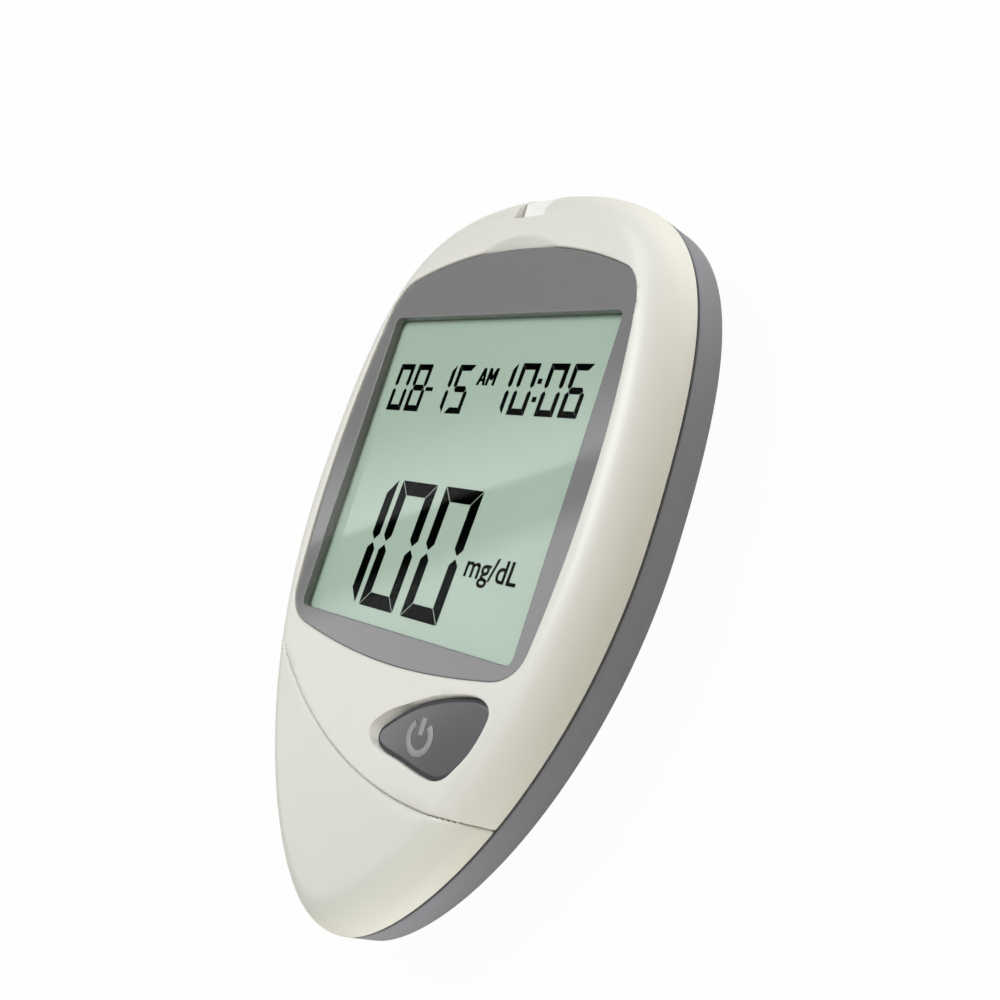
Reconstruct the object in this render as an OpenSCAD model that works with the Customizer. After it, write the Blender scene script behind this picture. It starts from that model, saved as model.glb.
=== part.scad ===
// Hand-held blood glucose meter, lying on its back: display up, test strip port towards +Y.
// Millimetres. The origin is at the centre of the footprint, on the resting face.
// Most pieces are drawn from the joint plane between the covers and the rear housing (z = 0 there).

/* [Display] */
// Width of the clear window
window_w = 43.4; // [36:0.2:46]
// Height of the clear window
window_h = 41.4; // [34:0.2:44]
// Grey border beside the window
border_side = 3.5; // [3:0.1:6]
// Grey border above the window, at the middle
border_top = 8.8; // [6:0.1:12]
// Grey border below the window, at the middle
border_bottom = 3.9; // [3:0.1:7]
// Thickness of the grey bezel plate
bezel_t = 1; // [0.8:0.1:1.4]
// Thickness of the clear window
window_t = 0.9; // [0.7:0.1:1.2]
// Bezel's lower edge to its widest place
bezel_flank = 25; // [22:0.5:30]
// Thickness of the display glass stack
lcd_t = 1.6; // [1.2:0.1:2]
// Border of the display glass that the bezel hides
lcd_border = 1; // [0.8:0.1:1.5]
// Height of the rubber contact strips under the glass
zebra_h = 1.75; // [1.7:0.05:2.2]

/* [Body] */
// Cover left and right of the bezel, at the widest place
side_rim = 5.3; // [4.8:0.1:8]
// Cover between the bezel and the top end
top_rim = 8.9; // [8:0.1:12]
// Length from the bezel's lower edge to the chin
chin_l = 33; // [31:0.5:40]
// Bezel's lower edge to the widest place of the body
body_flank = 21; // [18:0.5:25]
// Height of the covers above the joint plane
cover_h = 6.06; // [5.8:0.02:7]
// Width of the rounded shoulder round the cover
shoulder_w = 4.36; // [3.6:0.1:5]
// How full the shoulder's curve is: 2 is an ellipse
shoulder_full = 1.81; // [1.5:0.01:2.4]
// Depth of the bezel's face below the rim of the cover
lens_drop = 0.31; // [0.2:0.01:0.4]
// Rise of the middle of the face above its edge
crown = 0.2; // [0:0.05:0.4]
// Fall of the face at the tip of the chin, as a share of its height
chin_drop = 0.13; // [0:0.01:0.2]
// Height of the straight wall of the rear housing
rear_wall_h = 4.3; // [3.5:0.1:6]
// How far the belly draws in at the sides
belly_in_x = 13; // [10:0.5:14]
// How far the belly draws in at the ends
belly_in_y = 8; // [6:0.5:10]
// How full the belly's curve is: 2 is an ellipse
belly_full = 1.2; // [1:0.05:2]
// Wall thickness of the mouldings
wall = 1.6; // [1.4:0.1:2]
// Thickness of the cover's face
face_t = 2.1; // [2:0.1:2.4]
// Shadow gap along the joint line
joint_gap = 0.2; // [0.1:0.05:0.3]

/* [Chin line] */
// Radius of the line between front cover and chin cover
chin_line_r = 56; // [45:1:80]
// Side offset of the line's lowest point
chin_line_x = 12.7; // [0:0.1:16]
// Distance of the line's lowest point below the bezel
chin_line_drop = 14.3; // [13.5:0.1:16]

/* [Button] */
// Side offset of the main button's middle
button_x = 11.8; // [10:0.1:12.5]
// Distance of the main button's middle below the bezel
button_drop = 6.3; // [6:0.1:8]
// Travel of the main button
button_travel = 0.5; // [0.3:0.05:0.6]
// Running gap round the main button
button_gap = 0.2; // [0.15:0.05:0.3]
// Width of the hidden retaining flange
button_flange = 0.9; // [0.6:0.1:1]
// Radius of the crowned button face
button_dome_r = 72; // [36:1:90]

/* [Strip port] */
// Width of the notch over the strip guide
port_w = 5.5; // [5:0.1:7]
// Length of the notch, from the top end
port_l = 4.7; // [4:0.1:5.5]
// Width of the test strip slot
strip_w = 5.2; // [4.5:0.1:6.5]
// Height of the test strip slot
strip_h = 0.8; // [0.6:0.05:1]
// Chord radius of the finger scoop beside the bezel
scoop_r = 14; // [12:0.5:18]

/* [Batteries] */
// Diameter of a cell
cell_d = 10.5; // [10:0.1:10.6]
// Length of a cell over its terminal
cell_l = 44.5; // [43:0.1:45]
// Length of a fitted contact spring
spring_l = 4.3; // [3.5:0.1:6]
// Wire diameter of a contact spring
spring_wire = 0.6; // [0.5:0.05:0.8]
// Radius of a contact spring's wide end
spring_r = 3.5; // [3:0.1:4]
// Turns of a contact spring
spring_turns = 4; // [3:1:6]
// Thickness of the battery door
door_t = 1.1; // [0.9:0.05:1.2]
// Depth of the closed door below the resting face
door_sink = 0.15; // [0.05:0.05:0.3]

/* [Electronics] */
// Thickness of the circuit board
board_t = 1; // [0.8:0.1:1.2]
// Diameter of the round sounder
buzzer_d = 9; // [7:0.5:10]
// Side of the main processor
chip_w = 9; // [7:0.5:10]
// Diameter of the housing screws
screw_d = 1.7; // [1.4:0.1:2]
// Plastic round a screw
boss_wall = 1.4; // [1.2:0.1:1.8]

/* [Hidden] */
$fn = 48;
eps = 0.01;
fit = 0.05;          // running clearance round pins, stems and screws
snug = 0.1;          // gap between pieces that are pressed or laid into each other
slack = 0.3;         // clearance between pieces that lie free of each other

// Overall size
bezel_half = window_w / 2 + border_side;
bezel_h = window_h + border_top + border_bottom;
half_w = bezel_half + side_rim;
body_l = top_rim + bezel_h + chin_l;
half_l = body_l / 2;

// Stations along Y
bezel_top = half_l - top_rim;
bezel_low = bezel_top - bezel_h;
window_top = bezel_top - border_top;
window_low = window_top - window_h;
wide_y = bezel_low + body_flank;

// Levels above the joint plane
lens_z = cover_h - lens_drop;            // top of the bezel
bezel_seat = lens_z - bezel_t;
gasket_t = 0.4;
lcd_z = bezel_seat - gasket_t;           // top of the display glass
lcd_base = lcd_z - lcd_t;
board_z = lcd_base - zebra_h;            // top of the circuit board
board_low = board_z - board_t;
bay_roof = 1.2;                          // plastic between the board and the cells
bay_floor = board_low - bay_roof;
cell_r = cell_d / 2;
cell_play = 0.15;
cell_z = bay_floor - cell_play - cell_r; // axis of the cells
door_z = cell_z - cell_r - slack - door_t;
back_z = door_z - door_sink;             // resting face
seam_z = -back_z;
belly_h = seam_z - rear_wall_h;

// Outline: nodes are [x, y, heading, handle in, handle out], drawn clockwise
top_full = 0.823;
upper_full = 0.679;
flank_full = 0.544;
chin_full = 0.368;
body_nodes = [
    [0, half_l, 0, undef, top_full * half_w],
    [half_w, wide_y, -90, upper_full * (half_l - wide_y), flank_full * (wide_y + half_l)],
    [0, -half_l, -180, chin_full * half_w, undef]];
bezel_nodes = [
    [0, bezel_top, 0],
    [bezel_half - 5.4, bezel_top - 3.45, -21],
    [bezel_half - 1.85, bezel_top - 8.5, -80],
    [bezel_half, bezel_low + bezel_flank, -90],
    [bezel_half - 1.4, bezel_low + 5.5, -98.5],
    [bezel_half - 5.9, bezel_low + 1.5, -171],
    [0, bezel_low, -180]];
button_mid = [button_x, bezel_low - button_drop];
// The button, and the recess that runs round it: both from the middle of the button
function from_mid(nodes) = [for (p = nodes) [p[0] + button_mid[0], p[1] + button_mid[1], p[2]]];
right_nodes = [[5.3, 5.6, 10], [8.9, 4, -99], [7.7, 0.3, -116], [5.7, -2.6, -126],
    [2.6, -4.1, -179], [-3.3, -3.5, -187]];
button_nodes = from_mid(concat([[-1.6, 3.4, 23]], right_nodes,
    [[-8.5, -2.35, -197], [-8.2, -1.25, -306], [-1.6, 3.4, -337]]));
recess_nodes = from_mid(concat([[-1.5, 3.65, 25]], right_nodes,
    [[-9.3, -2.5, -205], [-9.75, -0.85, -304], [-1.5, 3.65, -335]]));
body_steps = 16;
corner_steps = 5;

function unit(a) = [cos(a), sin(a)];
function handle(a, b, given) =
    is_undef(given) ? norm([b[0] - a[0], b[1] - a[1]]) / (3 * pow(cos((b[2] - a[2]) / 4), 2)) : given;
function blend(p, t) =
    pow(1 - t, 3) * p[0] + 3 * pow(1 - t, 2) * t * p[1] + 3 * (1 - t) * t * t * p[2] + pow(t, 3) * p[3];
function slope(p, t) =
    pow(1 - t, 2) * (p[1] - p[0]) + 2 * (1 - t) * t * (p[2] - p[1]) + t * t * (p[3] - p[2]);
function bezier(a, b) =
    let (p = [a[0], a[1]], q = [b[0], b[1]])
    [p, p + handle(a, b, a[4]) * unit(a[2]), q - handle(a, b, b[3]) * unit(b[2]), q];
// A point of the curve, moved outwards by d
function out_point(c, t, d) = let (v = slope(c, t)) blend(c, t) + d * [-v[1], v[0]] / norm(v);
function trace(nodes, d, steps) = [for (k = [0:len(nodes) - 2])
    let (c = bezier(nodes[k], nodes[k + 1]))
    for (i = [0:steps - 1]) out_point(c, i / steps, d)];
function half_trace(nodes, d, steps) =
    let (last = bezier(nodes[len(nodes) - 2], nodes[len(nodes) - 1]))
    concat(trace(nodes, d, steps), [out_point(last, 1, d)]);
function both_sides(half) =
    concat(half, [for (i = [len(half) - 2:-1:1]) [-half[i][0], half[i][1]]]);
function body_ring(d) = both_sides(half_trace(body_nodes, d, body_steps));
function bezel_ring(d) = both_sides(half_trace(bezel_nodes, d, corner_steps));

// Height factor of the face: it falls away towards the tip of the chin
fall_from = bezel_low + 10;
function fall(y) = 1 - chin_drop * pow(min(max((fall_from - y) / (fall_from + half_l), 0), 1), 2);
function rise(q, full) = pow(sin(90 * q), 2 / full);
function draw_in(q, full) = 1 - pow(max(cos(90 * q), 0), 2 / full);
function cover_level(q, skin, h) =
    [for (p = body_ring(-skin - shoulder_w * draw_in(q, shoulder_full)))
        [p[0], p[1], h * rise(q, shoulder_full) * fall(p[1])]];
function crown_level(s, skin, h, c) = [for (p = body_ring(-skin - shoulder_w))
    [p[0] * s, p[1] * s, (h + c * (1 - s * s)) * fall(p[1] * s)]];
function rear_level(q, skin, z) =
    let (u = draw_in(q, belly_full), kx = 1 - (belly_in_x * u + skin) / half_w,
        ky = 1 - (belly_in_y * u + skin) / half_l)
    [for (p = body_ring(0)) [p[0] * kx, p[1] * ky, z]];

// A moulded shell from two stacks of rings, each from the rim inwards
function sides(first, rings, n) = [for (k = [0:rings - 2], i = [0:n - 1])
    let (a = first + k * n + i, b = first + k * n + (i + 1) % n)
    each [[a, b, b + n], [a, b + n, a + n]]];
function cap(first, n) = [for (i = [0:n / 2 - 1])
    let (a = first + i, b = first + i + 1, c = first + n - i - 1, d = first + (n - i) % n)
    each i == 0 ? [[a, b, c]] : i == n / 2 - 1 ? [[a, b, d]] : [[a, b, c], [a, c, d]]];
function rim(outer, inner, n) = [for (i = [0:n - 1])
    let (j = (i + 1) % n) each [[outer + j, outer + i, inner + i], [outer + j, inner + i, inner + j]]];
function turned(faces) = [for (f = faces) [f[2], f[1], f[0]]];
module shell(outer, inner, up) {
    n = len(outer[0]);
    skin = len(outer) * n;
    out_faces = concat(sides(0, len(outer), n), cap(skin - n, n));
    in_faces = concat(sides(skin, len(inner), n), cap(skin + (len(inner) - 1) * n, n));
    faces = concat(out_faces, turned(in_faces), rim(0, skin, n));
    polyhedron(points = [for (r = concat(outer, inner)) each r], faces = up ? faces : turned(faces));
}
module solid(rings, up) {
    n = len(rings[0]);
    last = (len(rings) - 1) * n;
    faces = concat(sides(0, len(rings), n), cap(last, n), turned(cap(0, n)));
    polyhedron(points = [for (r = rings) each r], faces = up ? faces : turned(faces));
}

// Small helpers
module at_seam() translate([0, 0, seam_z]) children();
module slab(z0, z1) translate([0, 0, z0]) linear_extrude(z1 - z0) children();
module post(x, y, z0, z1, r) translate([x, y, z0]) cylinder(r = r, h = z1 - z0);
module block(x, y, z) translate([x[0], y[0], z[0]]) cube([x[1] - x[0], y[1] - y[0], z[1] - z[0]]);
module rounded(x, y, r) {
    hull()
        for (i = [0, 1], j = [0, 1])
            translate([x[i] + (i == 0 ? r : -r), y[j] + (j == 0 ? r : -r)]) circle(r, $fn = 24);
}

// Covers
cover_rows = 5;
inner_rows = 4;
cover_base = joint_gap / 2;
inner_h = cover_h - face_t;
function outer_cover() = concat(
    [[for (p = cover_level(0, 0, cover_h)) [p[0], p[1], cover_base]]],
    [for (k = [1:cover_rows]) cover_level(k / cover_rows, 0, cover_h)],
    [crown_level(0.8, 0, cover_h, crown), crown_level(0.45, 0, cover_h, crown)]);
function inner_cover() = concat(
    [[for (p = cover_level(0, wall, inner_h)) [p[0], p[1], cover_base]]],
    [for (k = [1:inner_rows]) cover_level(k / inner_rows, wall, inner_h)]);
chin_line_y = bezel_low - chin_line_drop + chin_line_r;
chin_gap = 0.16;
bezel_gap = 0.15;
cell_gap = 0.4;
cell_x = cell_r + cell_gap / 2;
bay_half = cell_x + cell_r + slack;
bay_wall = 1.2;
board_inset = 2.85;
board_half = half_w - board_inset;
side_mid = (bay_half + bay_wall + board_half) / 2;   // middle of the board beside the bay
screw_x_top = bay_half + 2;
screw_y_top = bezel_top - 2.6;
screw_x_low = 8;
screw_y_low = -half_l + 13;
screw_bite = 1;                                      // plastic beyond a screw's tip
boss_r = screw_d / 2 + boss_wall;
boss_low = board_low - 0.5;
pin_d = 1.2;                                         // board screws
pin_boss = 1.7;
board_screw_at = [[-bay_half - 4, bezel_low - 2.5], [0.4 - side_mid, bezel_top - 4.1],
    [side_mid - 0.4, bezel_top - 4.1]];
lcd_half = window_w / 2 + lcd_border;
lcd_top = window_top + lcd_border + 0.2;
lcd_ledge = 0.9;                                     // contacts at the lower end of the glass
lcd_low = window_low - lcd_border - lcd_ledge;
port_half = port_w / 2;
mouth_rise = 1.1;                                    // board to the slot
mouth_low = board_z + mouth_rise;
recess_depth = 1;

module cover_shell() shell(outer_cover(), inner_cover(), true);
module chin_zone(r) {
    post(chin_line_x, chin_line_y, -cover_h, 2 * cover_h, r, $fn = 240);
}
module front_cover() {
    color("#E6E7E1") at_seam() {
        difference() {
            union() {
                intersection() {
                    cover_shell();
                    chin_zone(chin_line_r - chin_gap / 2);
                }
                for (p = board_screw_at) post(p[0], p[1], board_z, inner_h + 0.2, pin_boss);
                for (s = [-1, 1]) post(s * screw_x_top, screw_y_top, board_z, inner_h + 0.4, boss_r);
            }
            slab(bezel_seat, cover_h + 2) polygon(bezel_ring(bezel_gap));
            slab(-1, bezel_seat + eps)
                square_window(lcd_half + slack, [lcd_low - slack, lcd_top + slack]);
            slab(-1, cover_h + 2) polygon(trace(button_nodes, button_gap, corner_steps));
            button_recess();
            finger_scoop();
            port_notch();
            for (p = board_screw_at) post(p[0], p[1], board_z - 1, inner_h, pin_d / 2 + fit);
            for (s = [-1, 1])
                post(s * screw_x_top, screw_y_top, -1, inner_h - screw_bite + 0.4, screw_d / 2 + fit);
        }
    }
}
module square_window(half, y) translate([-half, y[0]]) square([2 * half, y[1] - y[0]]);
// The face slopes down to the button along its upper left edge, most at the tip
module button_recess() {
    hull() {
        slab(lens_z - recess_depth, cover_h + 2)
            polygon(trace(button_nodes, button_gap, corner_steps));
        slab(cover_h, cover_h + 2) polygon(trace(recess_nodes, button_gap, corner_steps));
    }
}
// Hollow for the fingertip that pushes a strip in
module finger_scoop() {
    scoop_ball = 24;
    scoop_rim = 1.7;
    scoop_z = cover_h + sqrt(scoop_ball * scoop_ball - scoop_r * scoop_r);
    intersection() {
        translate([0, bezel_top + scoop_rim - scoop_r, scoop_z]) sphere(scoop_ball, $fn = 96);
        block([-scoop_r, scoop_r], [bezel_top - 5.6, bezel_top + 2 * scoop_rim],
            [bezel_seat + slack, cover_h + 2]);
    }
}
module port_notch() {
    block([-port_half, port_half], [half_l - port_l, half_l + 1], [board_z + 0.4, cover_h + 2]);
    block([-port_half - 1.2, port_half + 1.2], [bezel_top + 2.6, half_l - wall - 0.9], [-1, inner_h + 0.4]);
}
module chin_cover() {
    color("#DCDDD3") at_seam() {
        difference() {
            union() {
                difference() {
                    cover_shell();
                    chin_zone(chin_line_r + chin_gap / 2);
                }
                for (s = [-1, 1])
                    post(s * screw_x_low, screw_y_low, boss_low, inner_h, boss_r);
            }
            for (s = [-1, 1])
                post(s * screw_x_low, screw_y_low, boss_low - 1, inner_h - screw_bite + snug,
                    screw_d / 2 + fit);
        }
    }
}

// Display
window_round = 1;
module display_bezel() {
    color("#808084") at_seam() {
        difference() {
            slab(bezel_seat, lens_z) polygon(bezel_ring(0));
            slab(bezel_seat - 1, lens_z + 1)
                rounded([-window_w / 2, window_w / 2], [window_low, window_top], window_round);
        }
    }
}
module display_window() {
    half = window_w / 2 - fit;
    color("#C9D6CF", 0.35) at_seam()
        slab(bezel_seat, bezel_seat + window_t)
            rounded([-half, half], [window_low + fit, window_top - fit], window_round);
}
module display_gasket() {
    color("#2E2E30") at_seam() {
        difference() {
            slab(lcd_z, bezel_seat) square_window(lcd_half, [lcd_low, lcd_top]);
            slab(lcd_z - 1, bezel_seat + 1)
                square_window(window_w / 2 + slack, [window_low - slack, window_top + slack]);
        }
    }
}
zebra_in = 1.4;
module lcd_panel() {
    glass_t = lcd_t / 2;
    color("#A9BFB0") at_seam() {
        slab(lcd_base + glass_t, lcd_z) square_window(lcd_half, [lcd_low, lcd_top]);
        slab(lcd_base, lcd_base + glass_t) square_window(lcd_half, [lcd_low + zebra_in, lcd_top - 0.6]);
    }
}
holder_wall = 0.9;
holder_lip = 0.35;
holder_half = lcd_half + snug + holder_wall;
holder_top = lcd_top + snug + holder_wall;
holder_low = lcd_low - snug - holder_wall;
peg_at = [holder_half - 3.4, holder_top - 1.1];
peg_r = 0.7;
zebra_w = 2;
zebra_at = lcd_low + zebra_in + 1.5;
module lcd_holder() {
    color("#EDEDE8") at_seam() {
        difference() {
            slab(board_z, lcd_base + holder_lip)
                rounded([-holder_half, holder_half], [holder_low, holder_top], 2.6);
            slab(lcd_base, lcd_base + 2) square_window(lcd_half + snug, [lcd_low - snug, lcd_top + snug]);
            slab(board_z - 1, lcd_base + 1)
                square_window(window_w / 2 - 1.2, [zebra_at + zebra_w + 1, window_top - 1.6]);
            slab(board_z - 1, lcd_base + 1)
                square_window(window_w / 2 - 0.5 + snug, [zebra_at - snug, zebra_at + zebra_w + snug]);
        }
        // locating pegs that stand in the circuit board
        for (s = [-1, 1]) post(s * peg_at[0], peg_at[1], board_low + snug, board_z + eps, peg_r);
    }
}
module zebra_strips() {
    color("#D98A8A") at_seam()
        slab(board_z, lcd_base) square_window(window_w / 2 - 0.5, [zebra_at, zebra_at + zebra_w]);
}

// Circuit board and what is soldered to it
board_end_low = screw_y_low + boss_r + 0.8;
board_end_top = half_l - 5;
module circuit_board() {
    color("#2F6B45") at_seam() {
        difference() {
            intersection() {
                slab(board_low, board_z) polygon(body_ring(-board_inset));
                block([-half_w, half_w], [board_end_low, board_end_top], [board_low - 1, board_z + 1]);
            }
            for (s = [-1, 1]) {
                post(s * screw_x_top, screw_y_top, board_low - 1, board_z + 1, screw_d / 2 + slack);
                post(s * peg_at[0], peg_at[1], board_low - 1, board_z + 1, peg_r + fit);
            }
            for (p = board_screw_at) post(p[0], p[1], board_low - 1, board_z + 1, pin_d / 2 + slack);
        }
    }
}
chip_at = [side_mid, wide_y + 3];
chip_t = 1.28;
chip_stand = 0.12;
module microcontroller() {
    legs = 10;
    pitch = chip_w / (legs + 1);
    color("#232326") at_seam() {
        translate([chip_at[0], chip_at[1], 0])
            block([-chip_w / 2, chip_w / 2], [-chip_w / 2, chip_w / 2],
                [board_low - chip_stand - chip_t, board_low - chip_stand]);
        for (side = [0:3], i = [1:legs])
            translate([chip_at[0], chip_at[1], 0])
                rotate(90 * side) translate([chip_w / 2 - eps, i * pitch - chip_w / 2, board_low - 0.6])
                    union() {
                        translate([0, -0.15, 0]) cube([0.5, 0.3, 0.2]);
                        translate([0.35, -0.15, 0]) cube([0.2, 0.3, 0.6]);
                    }
    }
}
crystal_d = 2.6;
crystal_l = 7.5;
module crystal() {
    rim_r = crystal_d / 2 + 0.15;
    color("#C9CBD0") at_seam()
        translate([-side_mid, wide_y + 8, board_low - crystal_d / 2 - fit]) {
            rotate([90, 0, 0]) cylinder(d = crystal_d, h = crystal_l, center = true);
            block([-rim_r, rim_r], [crystal_l / 2 - fit, crystal_l / 2 + slack],
                [-rim_r, crystal_d / 2 + fit]);
        }
}
// A chip resistor, chip capacitor or coil: length, width, height
small_size = [1.6, 0.9, 0.6];
mid_size = [1.8, 1.1, 0.8];
coil_size = [3, 2, 1.3];
module soldered(x, y, size) {
    translate([x - size[0] / 2, y - size[1] / 2, board_low - size[2]]) cube(size);
}
module small_parts() {
    color("#B8935A") at_seam() {
        for (i = [0:2], j = [0:1])
            soldered(side_mid + 1.5 * small_size[0] * (i - 1), wide_y - 11.5 - 3 * j, small_size);
        for (i = [0:3]) soldered(-side_mid - mid_size[0] / 2, wide_y - 2.5 + 2 * i, mid_size);
        for (s = [-1, 1]) soldered(s * side_mid, bezel_low + 2.5, coil_size);
    }
}
buzzer_at = [-side_mid, wide_y - 11];
buzzer_h = 1.9;
module buzzer() {
    color("#1D1D1F") at_seam()
        translate([buzzer_at[0], buzzer_at[1], board_low - buzzer_h]) difference() {
            cylinder(d = buzzer_d, h = buzzer_h);
            translate([0, 0, -eps]) cylinder(d = 1.6, h = 0.7);
            translate([0, 0, -eps]) rotate_extrude() translate([buzzer_d / 2 - 0.9, 0]) square([0.4, 0.25]);
        }
}

// Main button on its switch
button_top = lens_z + 0.12;
flange_top = inner_h - 0.42;
flange_t = 0.8;
flange_low = flange_top - flange_t;
switch_w = 5.2;
switch_top = board_z + 0.7;
plunger_top = switch_top + button_travel + 0.2;
plunger_r = 1.1;
stem_r = 1.7;
stop_gap = 0.08;      // air left under a pressed plunger
module main_button() {
    color("#6F6E74") at_seam() {
        intersection() {
            slab(flange_low, button_top + 1) polygon(trace(button_nodes, 0, corner_steps));
            translate([button_mid[0] - 1, button_mid[1] + 1, button_top - button_dome_r])
                sphere(button_dome_r);
        }
        slab(flange_low, flange_top) intersection() {
            polygon(trace(button_nodes, button_flange, corner_steps));
            polygon(body_ring(-wall - 0.8 * shoulder_w));
        }
        post(button_mid[0], button_mid[1], plunger_top, flange_low + eps, stem_r);
    }
}
module tact_body(x, y, w, z0, z1, r) {
    difference() {
        block([x - w / 2, x + w / 2], [y - w / 2, y + w / 2], [z0, z1]);
        post(x, y, z0 - 1, z1 + 1, r + fit);
    }
}
module button_switch() {
    color("#2A2A2C") at_seam()
        tact_body(button_mid[0], button_mid[1], switch_w, board_z, switch_top, plunger_r);
}
module switch_plunger() {
    color("#D8B95A") at_seam()
        post(button_mid[0], button_mid[1], board_z + button_travel + stop_gap, plunger_top, plunger_r);
}

// Test strip port
guide_top = lens_z - 1;
guide_in = 1.4;
guide_end = half_l - guide_in;
mouth_half = strip_w / 2;
mouth_top = mouth_low + strip_h;
mouth_roof = 0.6;
module strip_guide() {
    land = [-port_half + snug, port_half - snug];
    foot = [-port_half - 1, port_half + 1];
    roof = mouth_top + mouth_roof;
    color("#F6F6F3") at_seam() {
        difference() {
            union() {
                block(land, [half_l - port_l + snug, guide_end - 0.6], [board_z + 0.5, guide_top]);
                block(land, [bezel_top + 4.4, guide_end], [board_z + 0.5, roof]);
                block(foot, [bezel_top + 3, half_l - wall - 1.2], [board_z + snug, roof]);
            }
            block([-mouth_half + 0.2, mouth_half - 0.2], [0, half_l + 1], [mouth_low, mouth_top]);
        }
    }
}
connector_low = lcd_top + 1.7;
connector_top = bezel_top + 2.9;
connector_wall = 1.6;
contact_w = 0.5;
contact_pitch = 1.5;
contact_t = 0.2;
module strip_connector() {
    color("#262629") at_seam() {
        difference() {
            block([-mouth_half - connector_wall, mouth_half + connector_wall], [connector_low, connector_top],
                [board_z, inner_h - 0.15]);
            block([-mouth_half, mouth_half], [connector_low + 1.2, connector_top + 1],
                [mouth_low, mouth_top]);
            for (i = [-1:1])
                block([i * contact_pitch - 0.4, i * contact_pitch + 0.4],
                    [connector_low + 1.6, connector_top - 1], [mouth_top - eps, inner_h + 1]);
        }
    }
}
// Each contact is a bent leaf that dips into the slot
module strip_contacts() {
    back = connector_low + 3;
    front = connector_top - 2.4;
    color("#D9B24C") at_seam()
        for (i = [-1:1])
            translate([i * contact_pitch - contact_w / 2, 0, mouth_top])
                rotate([90, 0, 90]) linear_extrude(contact_w)
                    polygon([[back - 1.2, 0.55], [back, 0.35], [front, -0.35], [front + 1, 0.3],
                        [front + 0.8, 0.45], [front, contact_t - 0.35], [back, 0.35 + contact_t]]);
}

// Rear housing
belly_rows = 5;
rear_z = -joint_gap / 2;
belly_z = -rear_wall_h;
rear_skin = wall + 0.2;
plate_t = 0.4;
bay_l = cell_l + spring_l + 2 * plate_t + 0.4;
bay_mid = wide_y;
bay_top = bay_mid + bay_l / 2;
bay_low = bay_top - bay_l;
set_x = -5;
pocket_l = 6.4;
pocket_low = bay_low - pocket_l;
pocket_x = [set_x - 5, set_x + 7];
door_half = bay_half + bay_wall;
door_top = bay_top + 2;
door_low = pocket_low - 1.1;
door_seat = door_z + door_t + snug;
door_clear = 0.2;
door_round = 5;
tongue_x = 5;
tongue_half = 2;
tongue_l = 1.9;
tongue_t = 0.8;
function rear_rings(skin) = concat([rear_level(0, skin, rear_z)],
    [for (k = [0:belly_rows]) let (q = k / belly_rows)
        rear_level(q, skin, belly_z - (belly_h - skin) * rise(q, belly_full))]);
module door_plan(d) {
    rounded([-door_half - d, door_half + d], [door_low - d, door_top + d], door_round + d);
}
module tongues(y, z, half) {
    for (s = [-1, 1]) block([s * tongue_x - half, s * tongue_x + half], y, z);
}
screw_seat = belly_z - 3.4;
head_r = screw_d / 2 + 0.75;
head_t = 1.2;
set_at = [set_x, bay_low - 3.1];
set_r = 1.5;
set_head = 1.9;
set_switch_w = 3.6;
set_floor = bay_floor - 2;
rib_t = 1;
rib_y = [bay_mid - 14, bay_mid + 10];
cradle_depth = 2.6;
// Screw posts and stiffening ribs, down to the skin of the belly
module rear_posts() {
    intersection() {
        union() {
            for (s = [-1, 1]) {
                post(s * screw_x_top, screw_y_top, back_z, board_low - snug, boss_r);
                post(s * screw_x_low, screw_y_low, back_z, boss_low - snug, boss_r);
            }
            for (y = rib_y) block([-half_w, half_w], [y - rib_t / 2, y + rib_t / 2], [back_z, belly_z]);
        }
        solid(concat([rear_level(0, 0, 2)], rear_rings(0)), false);
    }
}
module bay() {
    difference() {
        block([-bay_half, bay_half], [bay_low, bay_top], [back_z - 1, bay_floor]);
        // saddles that the cells lie in
        difference() {
            for (y = rib_y)
                block([-bay_half - 1, bay_half + 1], [y - rib_t / 2, y + rib_t / 2],
                    [bay_floor - cradle_depth, bay_floor + 1]);
            for (s = [-1, 1]) translate([s * cell_x, bay_low, cell_z]) rotate([-90, 0, 0])
                cylinder(r = cell_r + snug, h = bay_l);
        }
    }
}
module screw_ways() {
    for (p = [[screw_x_top, screw_y_top], [screw_x_low, screw_y_low]], s = [-1, 1]) {
        post(s * p[0], p[1], screw_seat - 1, 2, screw_d / 2 + 0.15);
        post(s * p[0], p[1], back_z - 1, screw_seat, head_r + 0.15);
    }
}
module seam_lip(out, in, z0, z1) {
    slab(z0, z1) difference() {
        polygon(body_ring(-out));
        polygon(body_ring(-in));
    }
}
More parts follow.
